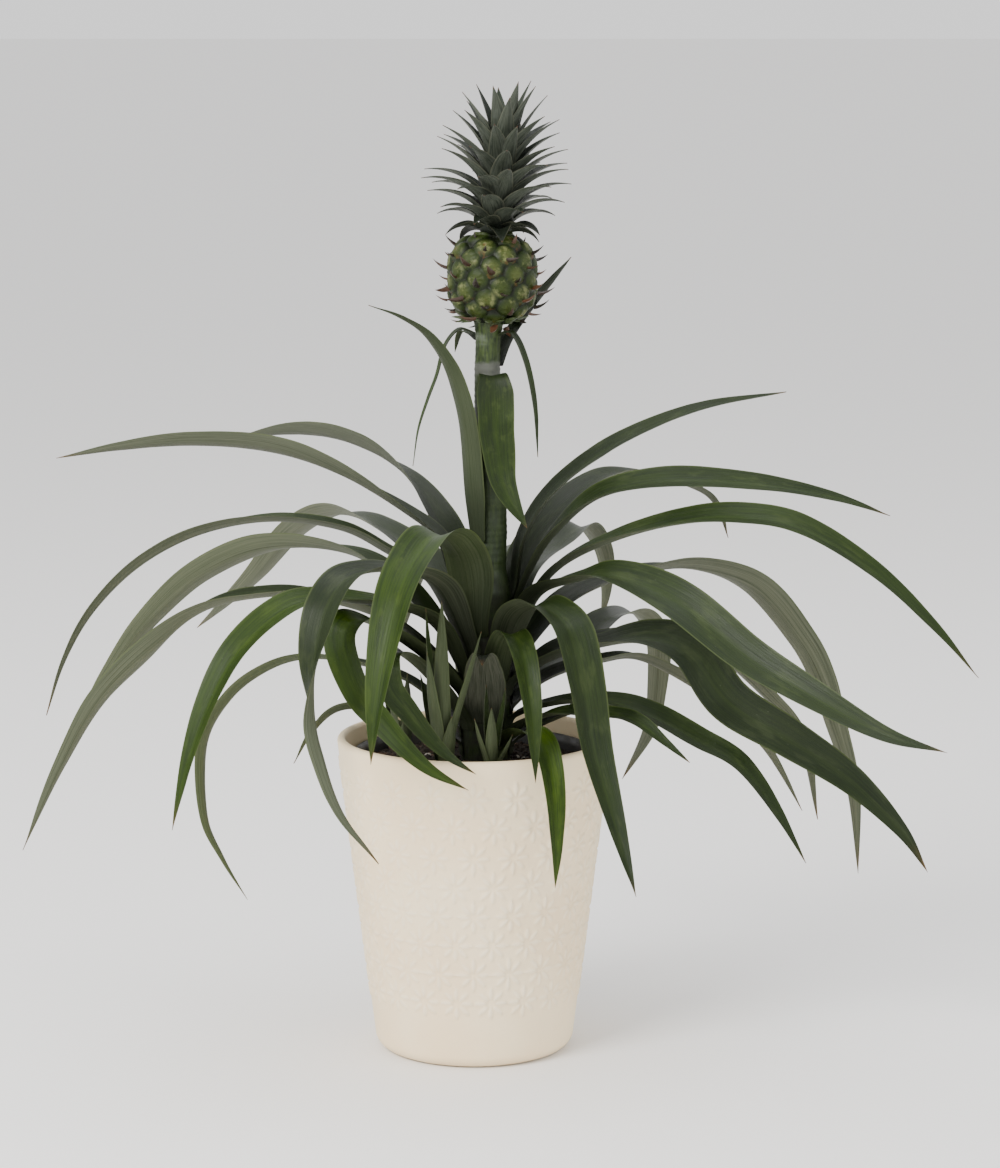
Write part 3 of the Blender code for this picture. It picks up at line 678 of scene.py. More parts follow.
# Azimuth of the foot, its height in millimetres, half the widest breadth, twist, then the midrib's route
# as (outward, up) and sometimes (sideways turn). Degrees run from +X towards +Y.
LEAVES = {
    "leaf_01": (175, 152, 7, 25, [(44, 166), (63, 174), (78, 172), (90, 160), (99, 145)]),
    "leaf_02": (5, 152, 8, 12, [(40, 171), (63, 176), (79, 174), (100, 166), (121, 154)]),
    "leaf_03": (-40, 157, 8, 18, [(45, 178), (82, 182), (97, 181), (112, 174), (130, 165)]),
    "leaf_04": (-66.5, 151.5, 8, 0, [(45, 171), (62, 173), (75, 167), (84, 148), (87, 122), (86, 101)]),
    "leaf_05": (-15, 165, 10, 28, [(40, 180), (66, 181), (86, 176), (111, 164), (132, 153), (150, 131),
        (166, 105)]),
    "leaf_06": (170, 161, 7, 25, [(40, 188), (70, 197), (96, 198), (117, 190), (135, 175), (148, 151),
        (148, 114), (139, 92), (126, 70)]),
    "leaf_07": (60, 164, 12, 0, [(60, 186), (105, 195), (133, 202), (164, 200), (186, 183), (186, 154),
        (178, 133), (148, 111)]),
    "leaf_08": (18, 171, 10, -15, [(36, 190), (63, 196), (83, 196), (111, 181), (134, 164), (156, 141),
        (175, 110)]),
    "leaf_09": (-148, 166, 10, 0, [(40, 200, 0), (63, 213, 10), (83, 212, 21), (86, 199, 25), (83, 187, 31),
        (81, 174, 39), (81, 166, 46), (83, 159, 55)]),
    "leaf_10": (95, 174, 11, 0, [(40, 205), (80, 215), (120, 205), (150, 180), (172, 145)]),
    "leaf_11": (28, 177, 11.5, -12, [(45, 202), (85, 206), (103, 207), (127, 200), (164, 170), (190, 141),
        (202, 96)]),
    "leaf_12": (-20, 183, 14.5, 55, [(36, 203), (61, 211), (87, 216), (108, 210), (129, 186), (160, 170),
        (191, 152), (217, 129), (231, 109)]),
    "leaf_13": (-148, 191.5, 13, -12, [(30, 220), (50, 231), (92, 239), (116, 236), (141, 219), (157, 196),
        (169, 168), (179, 134)]),
    "leaf_14": (-145, 177.5, 11, 0, [(40, 207, 0), (71, 226, 4), (89, 230, 7), (95, 220, 8), (94, 198, 14),
        (94, 185, 23), (94, 165, 37), (92, 153, 50)]),
    "leaf_15": (-162, 184.5, 12, 56, [(48, 221), (87, 236), (113, 239), (145, 234), (171, 217), (199, 192),
        (220, 158), (239, 119)]),
    "leaf_16": (35, 188, 12, -30, [(45, 222), (75, 233), (105, 237), (136, 235), (175, 221), (207, 190),
        (222, 167), (232, 141), (246, 102), (251, 54)]),
    "leaf_17": (-58, 195, 13, 0, [(30, 225), (42, 233), (56, 235), (78, 227), (90, 202), (98, 175),
        (112, 148), (137, 106)]),
    "leaf_18": (155, 195, 12, 38, [(45, 232), (77, 250), (125, 250), (166, 233), (197, 207), (222, 177),
        (248, 140)]),
    "leaf_19": (-92, 170, 12, 0, [(26, 195), (35, 207), (42, 210), (46, 206)]),
    "leaf_20": (125, 206, 12, 20, [(48, 241), (100, 257), (142, 259), (186, 243), (226, 214), (259, 194),
        (291, 176)]),
    "leaf_21": (-35, 202, 13, 48, [(32, 236), (55, 246), (77, 250), (116, 240), (156, 218), (201, 199),
        (233, 188), (264, 184)]),
    "leaf_22": (-73, 184, 8, 0, [(28, 211), (45, 221), (64, 213), (77, 192), (82, 171), (84, 154)]),
    "leaf_23": (66, 203, 12, 0, [(45, 238), (96, 247), (127, 252), (155, 235), (160, 214), (153, 195)]),
    "leaf_24": (-132, 205, 13, 85, [(36, 242), (63, 253), (96, 255), (116, 243, 1), (127, 219, 2),
        (133, 191, 4), (139, 173, 8), (140, 148, 13), (130, 123, 19)]),
    "leaf_25": (105, 198, 12, 0, [(40, 231), (75, 240), (115, 234), (150, 220), (178, 186)]),
    "leaf_26": (-172, 209, 11, 25, [(30, 243), (51, 257), (74, 269), (109, 274), (144, 268), (174, 253),
        (197, 231), (212, 206), (222, 178)]),
    "leaf_27": (-12, 211, 11, 28, [(36, 247), (64, 263), (99, 274), (129, 277), (159, 273), (195, 253),
        (225, 227), (249, 201)]),
    "leaf_28": (42, 217, 11, 0, [(28, 252), (51, 273), (80, 286), (108, 286), (146, 276), (165, 265),
        (175, 246)]),
    "leaf_29": (-115, 214, 14, 0, [(24, 251), (36, 264), (52, 271), (70, 269), (97, 252), (113, 226),
        (123, 200), (129, 171)]),
    "leaf_30": (130, 218, 11, 42, [(26, 252), (40, 271), (69, 291), (112, 302), (160, 303), (213, 295)]),
    "leaf_31": (-5, 223, 11, 30, [(24, 248), (35, 265), (58, 285), (93, 293), (133, 292), (173, 286),
        (203, 277)]),
    "leaf_32": (84, 211, 11, 0, [(28, 238), (55, 248), (85, 244), (118, 222), (146, 194)]),
    "leaf_33": (168, 227, 10, 42, [(22, 259), (42, 275), (76, 294), (113, 306), (155, 308), (193, 304),
        (227, 298)]),
    "leaf_34": (12, 231, 9, 16, [(21, 264), (38, 288), (70, 310), (111, 326), (157, 334)]),
}

# Where along its length a leaf twists: from this share to that one.
TWIST_USUAL = (0.15, 0.55)
TWIST_PLACES = {"leaf_15": (0.42, 0.66), "leaf_24": (0.50, 0.78), "leaf_26": (0.35, 0.70)}
TAPER = 3.2

# How each leaf differs from the usual: freshness (0 grey and dull, 0.5 usual, 1 bright yellow-green),
# silvering of its underside, and browning of its tip.
LEAF_LOOKS = {
    "leaf_04": (1.70, 0.4, 0.1), "leaf_22": (0.72, 0.2, 0.1), "leaf_14": (0.90, 0.4, 0.2),
    "leaf_29": (0.85, 0.3, 0.2), "leaf_17": (0.45, 0.5, 0.3), "leaf_09": (0.55, 0.5, 0.3),
    "leaf_33": (0.20, 0.6, 0.5), "leaf_18": (0.45, 0.8, 0.4), "leaf_30": (0.15, 0.4, 0.4),
    "leaf_26": (0.35, 0.7, 0.4), "leaf_19": (0.0, 0.9, 0.6), "leaf_20": (0.30, 1.0, 0.3),
    "leaf_28": (0.30, 1.0, 0.3), "leaf_16": (0.30, 1.0, 0.4), "leaf_11": (0.25, 0.8, 0.4),
    "leaf_08": (0.25, 0.8, 0.5), "leaf_07": (0.20, 1.0, 0.4), "leaf_23": (0.20, 1.0, 0.4),
    "leaf_06": (0.80, 0.6, 0.3), "leaf_24": (0.30, 0.7, 0.3), "leaf_13": (0.85, 0.7, 0.3),
    "leaf_15": (0.35, 0.8, 0.4), "leaf_21": (0.45, 0.4, 0.2), "leaf_12": (0.30, 0.4, 0.3),
    "leaf_05": (0.55, 0.5, 0.3), "leaf_03": (0.55, 0.5, 0.3), "leaf_31": (0.50, 0.5, 0.3),
    "leaf_34": (0.35, 0.6, 0.3), "leaf_27": (0.60, 0.6, 0.3), "leaf_01": (0.6, 0.5, 0.3),
}


def smooth_route(points, count):
    """Evenly spaced places along a smooth curve through the points: outward, up, sideways turn."""
    points = np.array([(*point, 0)[:3] for point in points], float)
    before = 2 * points[0] - points[1]
    after = 2 * points[-1] - points[-2]
    padded = np.vstack([before, points, after])
    fine = []
    for a, b, c, d in zip(padded, padded[1:], padded[2:], padded[3:]):
        for t in np.linspace(0, 1, 12, endpoint=False):
            cubic = (c - a) * t + (2 * a - 5 * b + 4 * c - d) * t**2 + (3 * b - a - 3 * c + d) * t**3
            fine.append(b + 0.5 * cubic)
    fine = np.array(fine + [points[-1]])
    steps = np.column_stack([np.diff(fine[:, :2], axis=0), fine[1:, 0] * np.radians(np.diff(fine[:, 2]))])
    run = np.concatenate([[0], np.cumsum(np.linalg.norm(steps, axis=1))])
    places = np.linspace(0, run[-1], count)
    return np.column_stack([np.interp(places, run, fine[:, k]) for k in range(3)])


def midrib(route, azimuth, twist, centre, span):
    """A chain of edges along a leaf's middle, each point carrying the direction across the blade.
    The route is in millimetres."""
    places = smooth_route(route, ROUTE_POINTS)
    bearing = np.radians(azimuth + places[:, 2])
    spine = np.column_stack([places[:, 0] * np.cos(bearing), places[:, 0] * np.sin(bearing), places[:, 1]])
    spine = spine * 0.001 + np.array([centre[0], centre[1], 0.0])
    ahead = np.gradient(spine, axis=0)
    ahead /= np.linalg.norm(ahead, axis=1)[:, None]
    side = np.array([-math.sin(bearing[0]), math.cos(bearing[0]), 0.0])
    sides = []
    for k, share in enumerate(np.linspace(0, 1, ROUTE_POINTS)):
        side = side - ahead[k] * (side @ ahead[k])
        side /= np.linalg.norm(side)
        turn = min(1.0, max(0.0, (share - span[0]) / (span[1] - span[0])))
        roll = math.radians(twist) * turn * turn * (3 - 2 * turn)
        sides.append(side * math.cos(roll) + np.cross(ahead[k], side) * math.sin(roll))
    chain = bpy.data.meshes.new("midrib")
    chain.from_pydata([tuple(p) for p in spine], [(k, k + 1) for k in range(ROUTE_POINTS - 1)], [])
    across = chain.attributes.new("side", "FLOAT_VECTOR", "POINT")
    across.data.foreach_set("vector", np.array(sides, np.float32).ravel())
    return chain


def flat_strip(net, rows, columns):
    """A flat sheet that keeps each point's share along it and its place across it, from -1 to 1."""
    sheet = net.node("GeometryNodeMeshGrid", {}, {"Size X": 1.0, "Size Y": 1.0, "Vertices X": rows,
                                                  "Vertices Y": columns})
    x, y, z = net.parts(net.position())
    return net.keep(net.keep(sheet, "along", x + 0.5), "across", y * 2)


def two_skins(net, sheet, place_of):
    """The top and the underside of a blade, joined where they meet. place_of gives where a skin's points
    lie: 1 for the top, -1 for the underside."""
    skins = []
    for way in (1, -1):
        skin = net.move(sheet, Position=place_of(way))
        if way < 0:
            skin = net.node("GeometryNodeFlipFaces", {}, {"Mesh": skin})
        skins.append(net.keep(skin, "underside", 0.0 if way > 0 else 1.0, domain="FACE"))
    return net.node("GeometryNodeMergeByDistance", {}, {"Geometry": net.join(*skins),
                                                        "Distance": SKIN_JOIN})


def strap_leaf():
    """A channelled, tapering blade along a chain: two skins that meet at the edges, the foot and the tip."""
    net = geometry_net("strap leaf")
    chain = net.inlets("Geometry", "Geometry")
    foot, widest, foot_trough, trough = net.inlets("Float", "Foot Half Width", "Half Width", "Foot Trough",
                                                   "Trough")
    thick, wave, seed, fresh = net.inlets("Float", "Thickness", "Edge Wave", "Seed", "Freshness")
    silver, dry = net.inlets("Float", "Silvering", "Dry Tip")
    rows, columns = net.inlets("Int", "Rows", "Columns")
    look = net.inlets("Material", "Finish")
    sheet = flat_strip(net, rows, columns)
    along = net.stored("along")
    across = net.stored("across")
    curve = net.node("GeometryNodeMeshToCurve", {}, {"Mesh": chain})
    sample = net.node("GeometryNodeSampleCurve", {"mode": "FACTOR", "data_type": "FLOAT_VECTOR"},
                      {"Curves": curve, "Value": net.stored("side", "FLOAT_VECTOR"), "Factor": along})
    side = sample.unit()
    above = sample.out("Tangent").cross(side)
    reach = (foot + (widest - foot) * along.ramp(0.0, 0.18)) * (1 - along ** TAPER)
    slope = foot_trough + (trough - foot_trough) * (along * 4).least(1.0) * (1 - along * 0.5)
    ripple = net.noise(net.vector(along * 9.0, across * 0.6, seed * 7.3), 1.0, 1.0) - 0.5
    edge = abs(across)
    bend = net.noise(net.vector(along * 4.0, seed * 3.1, 0.0), 1.0, 1.0) - 0.5
    wander = bend * reach * 0.16 * along.ramp(0.1, 0.4)
    lift = slope.sin() * reach * edge ** 1.5 + ripple * wave * edge * along.ramp(0.05, 0.3)
    flat = slope.cos() * reach * across + wander
    place = sample.out("Position") + side * flat + above * lift
    swell = (1 - across * across).most(0.0) ** 0.5 * (along * 60).least(1.0) * (1 - along * 0.6) * thick * 0.5
    both = two_skins(net, sheet, lambda way: place + above * (swell * way))
    for name, value in (("seed", seed), ("fresh", fresh), ("silver", silver), ("dry", dry)):
        both = net.keep(both, name, value)
    return net.result(both, look)


def leaf_skin():
    """Green leaf: veins and streaks run lengthwise, the edge is pale, the underside silvery, the tip dry, and
    the foot darkened with painted shade.
    """
    net = finish("leaf skin", (0.07, 0.13, 0.05), 0.4, IOR=1.42, Specular_IOR_Level=0.24)
    along, across, seed = attributes(net, "along", "across", "seed")
    fresh, silver, dry, under = attributes(net, "fresh", "silver", "dry", "underside")
    lengthwise = net.vector(across * 7.0 + seed * 3.7, along * 2.2, seed)
    streak = net.noise(lengthwise, 2.4, 4.0, 0.6)
    vein = net.noise(net.vector(across * 26.0 + seed, along * 1.2, seed), 1.6, 2.0, 0.5)
    cloud = net.noise(net.vector(across * 0.8, along * 7.0, seed * 5.0), 1.0, 3.0, 0.55)
    speck = net.noise(net.vector(across * 12.0, along * 110.0, seed * 2.0), 1.0, 2.0, 0.6)
    dark = net.mix(fresh, (0.0060, 0.0085, 0.0045), (0.0065, 0.0170, 0.0010))
    light = net.mix(fresh, (0.018, 0.024, 0.010), (0.034, 0.066, 0.002))
    share = (streak.ramp(0.30, 0.70) * 0.6 + cloud.ramp(0.3, 0.7) * 0.4) * (0.35 + fresh * 0.5)
    top = net.mix(share, dark, light)
    top = net.mix((1 - abs(across).ramp(0.0, 0.22)) * 0.25, top, light)
    back_light = net.mix(fresh * 0.5, (0.125, 0.132, 0.095), (0.095, 0.125, 0.036))
    back_dark = net.mix(fresh, (0.024, 0.030, 0.017), (0.022, 0.040, 0.008))
    scurf = (streak.ramp(0.25, 0.62) * 0.55 + vein.ramp(0.35, 0.6) * 0.45) * (0.25 + silver * 0.75)
    back = net.mix(scurf, back_dark, back_light)
    # Painted shade: the leaf is darkened towards its foot, where it lies in the dense core of the rosette.
    foot = 1 - along.ramp(0.06, 0.30)
    blotch = net.noise(net.vector(across * 1.6 + seed, along * 11.0, seed * 9.0), 1.0, 3.0, 0.6)
    faded = net.mix(fresh, (0.030, 0.033, 0.024), (0.052, 0.085, 0.006))
    brown = (along + (cloud - 0.5) * 0.06 + abs(across) * 0.02).ramp(0.985, 0.998)
    brown_far = (along + (cloud - 0.5) * 0.10).ramp(0.93, 1.0) * dry
    colour = net.layers(
        top,
        (under, back),
        (abs(across).ramp(0.90, 0.985) * 0.35, (0.10, 0.13, 0.04)),
        (speck.ramp(0.70, 0.78) * 0.25 * (1 - under), (0.20, 0.21, 0.16)),
        (speck.ramp(0.22, 0.27, 1.0, 0.0) * 0.5, (0.030, 0.024, 0.012)),
        # painted shade at the foot
        (foot * 0.6, (0.008, 0.012, 0.005)),
        (blotch.ramp(0.52, 0.68) * 0.35 * (1 - under), faded),
        (brown.most(brown_far), (0.105, 0.060, 0.024)))
    rough = net.mix(under, cloud.ramp(0.3, 0.7, 0.36, 0.50), 0.62)
    return dress(net, colour, rough, vein * 0.8 + streak * 0.5, 0.0003, 0.65)


STRAP_LEAF = strap_leaf()
LEAF_SKIN = leaf_skin()


def blade(route, azimuth, twist, centre, half_width, foot_half_width, troughs, thick, rows, look, seed,
          columns=15, span=TWIST_USUAL):
    """The mesh of one leaf. Widths are in millimetres, troughs in degrees."""
    fresh, silver, dry = look
    chain = midrib(route, azimuth, twist, centre, span)
    return grow(STRAP_LEAF, chain, Foot_Half_Width=foot_half_width * 0.001, Half_Width=half_width * 0.001,
                Foot_Trough=math.radians(troughs[0]), Trough=math.radians(troughs[1]), Thickness=thick,
                Edge_Wave=half_width * 0.00009, Seed=float(seed), Freshness=fresh, Silvering=silver,
                Dry_Tip=dry, Rows=rows, Columns=columns, Finish=LEAF_SKIN)


def rosette():
    start = 1000 * (STEM_RADIUS + PIECE_GAP) + 0.8
    rise = math.radians(70)
    for k, (name, (azimuth, foot, widest, twist, route)) in enumerate(LEAVES.items()):
        root = [(start, foot), (start + 8 * math.cos(rise), foot + 8 * math.sin(rise))]
        look = LEAF_LOOKS.get(name, (0.30, 0.6, 0.3))
        mesh = blade(root + route, azimuth, twist, (STEM_X, 0.0), widest, 1000 * SHEATH_WIDE, (17, 22),
                     LEAF_THICK, 121, look, k + 1, span=TWIST_PLACES.get(name, TWIST_USUAL))
        add_piece(name + "_blade", mesh, name)


rosette()

# ---- Leaves on the flower stalk ----
# Six narrow leaves spring from the stalk between the rosette and the fruit. Some stand up; others have
# folded over and hang as thin strips beside the stalk. They are the same stuff as the rosette, but thinner.

BRACTS = {
    "stalk_leaf_01": (-140, 262, 8.5, 6.0, [(13, 290), (16.5, 320), (25, 347), (40, 367), (58, 378),
        (77, 385)]),
    "stalk_leaf_02": (-78, 346, 10.0, 6.4, [(14, 345), (17, 332), (19, 315, 2), (22, 295, 8),
        (33, 272, 25)]),
    "stalk_leaf_03": (-166, 367, 2.8, 3.2, [(15, 369), (22, 361), (26, 347), (31, 334), (36, 319),
        (39, 301)]),
    "stalk_leaf_04": (-28, 366, 3.4, 3.2, [(12, 368), (17, 362), (22, 349), (26, 330), (28, 306)]),
    "stalk_leaf_05": (35, 350, 6.0, 5.0, [(13, 362), (23, 374), (37, 388), (52, 403)]),
    "stalk_leaf_06": (140, 363, 3.0, 3.0, [(13, 366), (18, 366), (22, 356)]),
}
BRACT_LOOKS = {
    "stalk_leaf_01": (0.45, 0.0, 0.3), "stalk_leaf_02": (0.60, 0.0, 0.2), "stalk_leaf_03": (0.80, 0.2, 0.3),
    "stalk_leaf_04": (0.60, 0.1, 0.2), "stalk_leaf_05": (0.40, 0.4, 0.3), "stalk_leaf_06": (0.60, 0.3, 0.4),
}


def stalk_leaves():
    for k, (name, (azimuth, foot, widest, foot_wide, route)) in enumerate(BRACTS.items()):
        start = 1000 * between(foot * 0.001, STEM_OUTLINE) + 0.95
        mesh = blade([(start, foot)] + route, azimuth, 0, (stalk_x(foot * 0.001), 0.0), widest, foot_wide,
                     (14, 20), 0.0009, 81, BRACT_LOOKS[name], 60 + k, 11)
        add_piece(name + "_blade", mesh, name)


stalk_leaves()

# ---- Side shoots ----
# Three young plants have come up beside the stem, each a tight tuft of narrow upright leaves on a short
# pale core. The smallest leaves are outside and the tallest in the middle.

SHOOTS = {
    "shoot_01": ((-15, -50), 5.0, [(-60, 40, 9), (150, 58, 13), (-130, 72, 12), (-18, 82, 20), (160, 92, 9),
                                   (-100, 97, 3)]),
    "shoot_02": ((9, -51), 3.6, [(-20, 30, 11), (-160, 38, 9), (-90, 44, 5), (30, 52, 8), (150, 54, 3)]),
    "shoot_03": ((-35, -31), 4.0, [(-90, 34, 10), (150, 48, 12), (-150, 56, 9), (-60, 57, 4)]),
}
SHOOT_FOOT = 143.0
SHOOT_LOOKS = {"shoot_01": (0.75, 0.35, 0.2), "shoot_02": (0.65, 0.4, 0.3), "shoot_03": (0.55, 0.4, 0.4)}


def together(meshes):
    """One mesh from several, keeping what each one stores."""
    objects = []
    for mesh in meshes:
        obj = bpy.data.objects.new("part", mesh)
        bpy.context.scene.collection.objects.link(obj)
        objects.append(obj)
    bpy.context.view_layer.objects.active = objects[0]
    with bpy.context.temp_override(active_object=objects[0], selected_editable_objects=objects):
        bpy.ops.object.join()
    mesh = objects[0].data
    bpy.data.objects.remove(objects[0])
    return mesh


def side_shoots():
    for j, (name, (place, radius, blades)) in enumerate(SHOOTS.items()):
        centre = (place[0] * 0.001, place[1] * 0.001)
        size = radius * 0.001
        low = SHOOT_FOOT * 0.001
        core = turned([(0.0, low), (size * 0.85, low), (size, low + 0.001), (size * 0.98, low + 0.006),
                       (size * 0.9, low + 0.012), (size * 0.65, low + 0.018), (size * 0.4, low + 0.024),
                       (0.0, low + 0.026)], 40, centre)
        core.materials.append(LEAF_SKIN)
        # With along this low, the leaf skin gives the whole core its painted shade of a leaf foot.
        for stored, value in (("along", 0.05), ("across", 0.4), ("fresh", 0.6), ("seed", j + 0.5)):
            kept = core.attributes.new(stored, "FLOAT", "POINT")
            kept.data.foreach_set("value", np.full(len(core.vertices), value, np.float32))
        meshes = [core]
        for k, (azimuth, height, lean) in enumerate(blades):
            start = SHOOT_FOOT + 8 + 1.5 * k
            rise = SHOOT_FOOT + height - start
            route = [(radius * 0.4, start), (radius * 0.8 + lean * 0.2, start + rise * 0.35),
                     (radius * 0.6 + lean * 0.6, start + rise * 0.7), (lean, SHOOT_FOOT + height)]
            meshes.append(blade(route, azimuth, 0, centre, radius, radius * 0.75, (30, 25), 0.0008, 61,
                                SHOOT_LOOKS[name], 80 + 10 * j + k, 9))
        add_piece(name + "_tuft", together(meshes), name)


side_shoots()

# ---- Fruit ----
# A small unripe multiple fruit, a rounded barrel of fifty-six fleshy eyes in a spiral. Each is a low green
# dome with a sunken, dried middle, parted from the rest by dark furrows, with a thin red-brown spine
# below it. A collar of small green scales closes the bottom.

FRUIT_BASE = 0.373
FRUIT_RADIUS = 0.0223
FRUIT_HEIGHT = 0.0435
SPINE_DROP = 0.0031
COLLAR_RADIUS = 0.0125
COLLAR_TONE = 2.0
GOLDEN_ANGLE = math.radians(137.508)


def fruit_barrel(centre):
    profile = [(0.0, FRUIT_BASE), (0.005, FRUIT_BASE)]
    for share in 0.5 - 0.5 * np.cos(np.linspace(0.0, math.pi, 150)):
        bulge = (1 - abs(2 * share - 1) ** 3.2) ** 0.45
        profile.append((max(FRUIT_RADIUS * bulge - 0.0014, 0.0085), FRUIT_BASE + FRUIT_HEIGHT * share))
    profile += [(0.005, FRUIT_BASE + FRUIT_HEIGHT), (0.0, FRUIT_BASE + FRUIT_HEIGHT)]
    return turned(profile, 260, centre)


def spine_shape(length, wide, curl, sides=5, levels=5):
    """A closed curved thorn along +Z that bends towards +X. Its foot is at the origin."""
    points = []
    faces = []
    for k in range(levels):
        share = k / levels
        width = wide * (1 - share * share)
        for j in range(sides):
            angle = 2 * math.pi * j / sides
            points.append((curl * share * share + 0.45 * width * math.cos(angle), width * math.sin(angle),
                           length * share))
    points.append((curl, 0.0, length))
    for k in range(levels - 1):
        for j in range(sides):
            after = (j + 1) % sides
            low = k * sides
            faces.append((low + j, low + after, low + sides + after, low + sides + j))
    for j in range(sides):
        faces.append(((levels - 1) * sides + j, (levels - 1) * sides + (j + 1) % sides, len(points) - 1))
    faces.append(tuple(reversed(range(sides))))
    mesh = bpy.data.meshes.new("spine")
    mesh.from_pydata(points, [], faces)
    return bpy.data.objects.new("spine", mesh)


def fruit_eyes(skin_look, spine_look, spine, scale):
    """Swells the barrel into eyes round points set in a spiral, then sets a spine under each eye and a ring
    of scales round the bottom."""
    net = geometry_net("fruit eyes")
    barrel = net.inlets("Geometry", "Geometry")
    eyes, scales = net.inlets("Int", "Eyes", "Scales")
    lean, swell, spread = net.inlets("Float", "Lean", "Swell", "Eye Reach")
    number = net.node("GeometryNodeInputIndex")
    share = (number + 0.5) / eyes
    turn = number * GOLDEN_ANGLE
    bulge = (1 - abs(share * 2 - 1) ** 3.2) ** 0.45 * FRUIT_RADIUS
    middle = net.vector(turn.cos() * bulge + lean, turn.sin() * bulge, share * FRUIT_HEIGHT + FRUIT_BASE)
    spots = net.node("GeometryNodePoints", {}, {"Count": eyes, "Position": middle})
    place = net.position()
    nearest = net.node("GeometryNodeSampleNearest", {"domain": "POINT"},
                       {"Geometry": spots, "Sample Position": place})
    eye = net.node("GeometryNodeSampleIndex", {"data_type": "FLOAT_VECTOR", "domain": "POINT"},
                   {"Geometry": spots, "Value": place, "Index": nearest})
    off = place - eye
    away = off.length()
    x, y, z = net.parts(off)
    outward = net.node("GeometryNodeInputNormal")
    dome = (1 - (away / spread) ** 3.4).most(-0.4)
    pit = 1 - away.ramp(0.0005, 0.0017)
    nub = 1 - away.ramp(0.0, 0.0007)
    pleat = z.bearing((x * x + y * y) ** 0.5)
    ruck = net.noise(place, 420.0, 4.0, 0.65) - 0.5
    ray = (pleat * 9.0).sin() * away.ramp(0.0008, 0.0022) * (1 - away.ramp(0.0038, 0.0052))
    raised = dome * swell - pit * 0.0006 + nub * 0.0005 + ruck * 0.0007 + ray * 0.00012
    barrel = net.keep(barrel, "eye_away", away / spread)
    barrel = net.keep(barrel, "eye_up", z / spread)
    barrel = net.keep(barrel, "eye_tone", net.chance(0.0, 1.0, 5, ID=nearest))
    barrel = net.coat(net.move(barrel, Offset=outward * raised), skin_look)
    bx, by, bz = net.parts(place)
    radial = net.vector(bx - lean, by, (bz - FRUIT_BASE - FRUIT_HEIGHT * 0.5) * 0.35).unit()
    lowered = net.move(spots, Offset=net.vector(0.0, 0.0, -SPINE_DROP) + radial * (swell * 0.35))
    jitter = net.chance((-0.35, -0.35, -0.35), (0.35, 0.35, 0.35), 8)
    aim = net.vector(0.0, 0.0, 0.10) + radial * 1.1 + jitter
    turned_to = net.node("FunctionNodeAxesToRotation", {"primary_axis": "Z", "secondary_axis": "X"},
                         {"Primary Axis": aim, "Secondary Axis": net.vector(0.0, 0.0, 1.0) + jitter * 1.5})
    size = net.chance(0.55, 1.1, 9)
    thorn = net.node("GeometryNodeObjectInfo", {}, {"Object": spine}).out("Geometry")
    thorns = net.copies(lowered, thorn, Rotation=turned_to, Scale=size)
    thorns = net.coat(net.keep(thorns, "spine_tone", net.chance(0.0, 1.0, 4), domain="INSTANCE"), spine_look)
    around = number * (2 * math.pi) / scales
    ring = net.vector(around.cos() * COLLAR_RADIUS + (lean - 0.0004), around.sin() * COLLAR_RADIUS,
                      FRUIT_BASE + 0.0008)
    row = net.node("GeometryNodePoints", {}, {"Count": scales, "Position": ring})
    flat = net.vector(bx - lean, by, 0.0).unit()
    tipped = net.node("FunctionNodeAxesToRotation", {"primary_axis": "Z", "secondary_axis": "X"},
                      {"Primary Axis": flat + net.vector(0.0, 0.0, 0.25) + jitter,
                       "Secondary Axis": net.vector(0.0, 0.0, 1.0)})
    leafy = net.node("GeometryNodeObjectInfo", {}, {"Object": scale}).out("Geometry")
    collar = net.copies(row, leafy, Rotation=tipped, Scale=size)
    collar = net.coat(net.keep(collar, "spine_tone", COLLAR_TONE, domain="INSTANCE"), spine_look)
    return net.result(net.join(barrel, thorns, collar))


def fruit_skin():
    """Creamy green domes with painted highlights, darker green furrows with painted shade at their bottoms,
    and a dried mark in the middle of each eye.
    """
    net = finish("fruit skin", (0.25, 0.33, 0.12), 0.55, IOR=1.45, Specular_IOR_Level=0.3)
    away, up, tone = attributes(net, "eye_away", "eye_up", "eye_tone")
    cloud = net.noise(net.place, 320.0, 4.0, 0.6)
    fine = net.noise(net.place, 1500.0, 3.0, 0.6)
    pale = net.mix(tone, (0.018, 0.031, 0.0015), (0.056, 0.072, 0.013))
    green = net.mix(cloud.ramp(0.3, 0.7), (0.005, 0.012, 0.0002), (0.015, 0.028, 0.0008))
    # Painted highlights: bright pale streaks across the middle of each eye's dome.
    painted_eye_highlight = net.noise(net.place, 150.0, 5.0, 0.7).ramp(0.50, 0.64) * (1 - away.ramp(0.5, 0.85))
    mark = (1 - (away + (cloud - 0.5) * 0.7).ramp(0.05, 0.22)) * tone.ramp(0.25, 0.8)
    stain = (1 - up.ramp(-0.75, -0.25)) * cloud.ramp(0.46, 0.6) * tone.ramp(0.3, 0.6)
    colour = net.layers(
        pale,
        ((away + (cloud - 0.5) * 0.5).ramp(0.20, 0.78), green),
        (painted_eye_highlight * 0.5, (0.20, 0.21, 0.085)),
        # Painted shade: the bottoms of the furrows, beyond the furrows' own dark green, are painted near
        # black.
        (away.ramp(0.74, 0.94), (0.003, 0.006, 0.0001)),
        (mark * 0.85, net.mix(fine, (0.040, 0.018, 0.006), (0.150, 0.068, 0.018))),
        (stain * 0.6, (0.085, 0.036, 0.010)))
    return dress(net, colour, cloud.ramp(0.3, 0.7, 0.45, 0.65), fine * 0.6 + cloud * 0.6, 0.0003, 0.7)


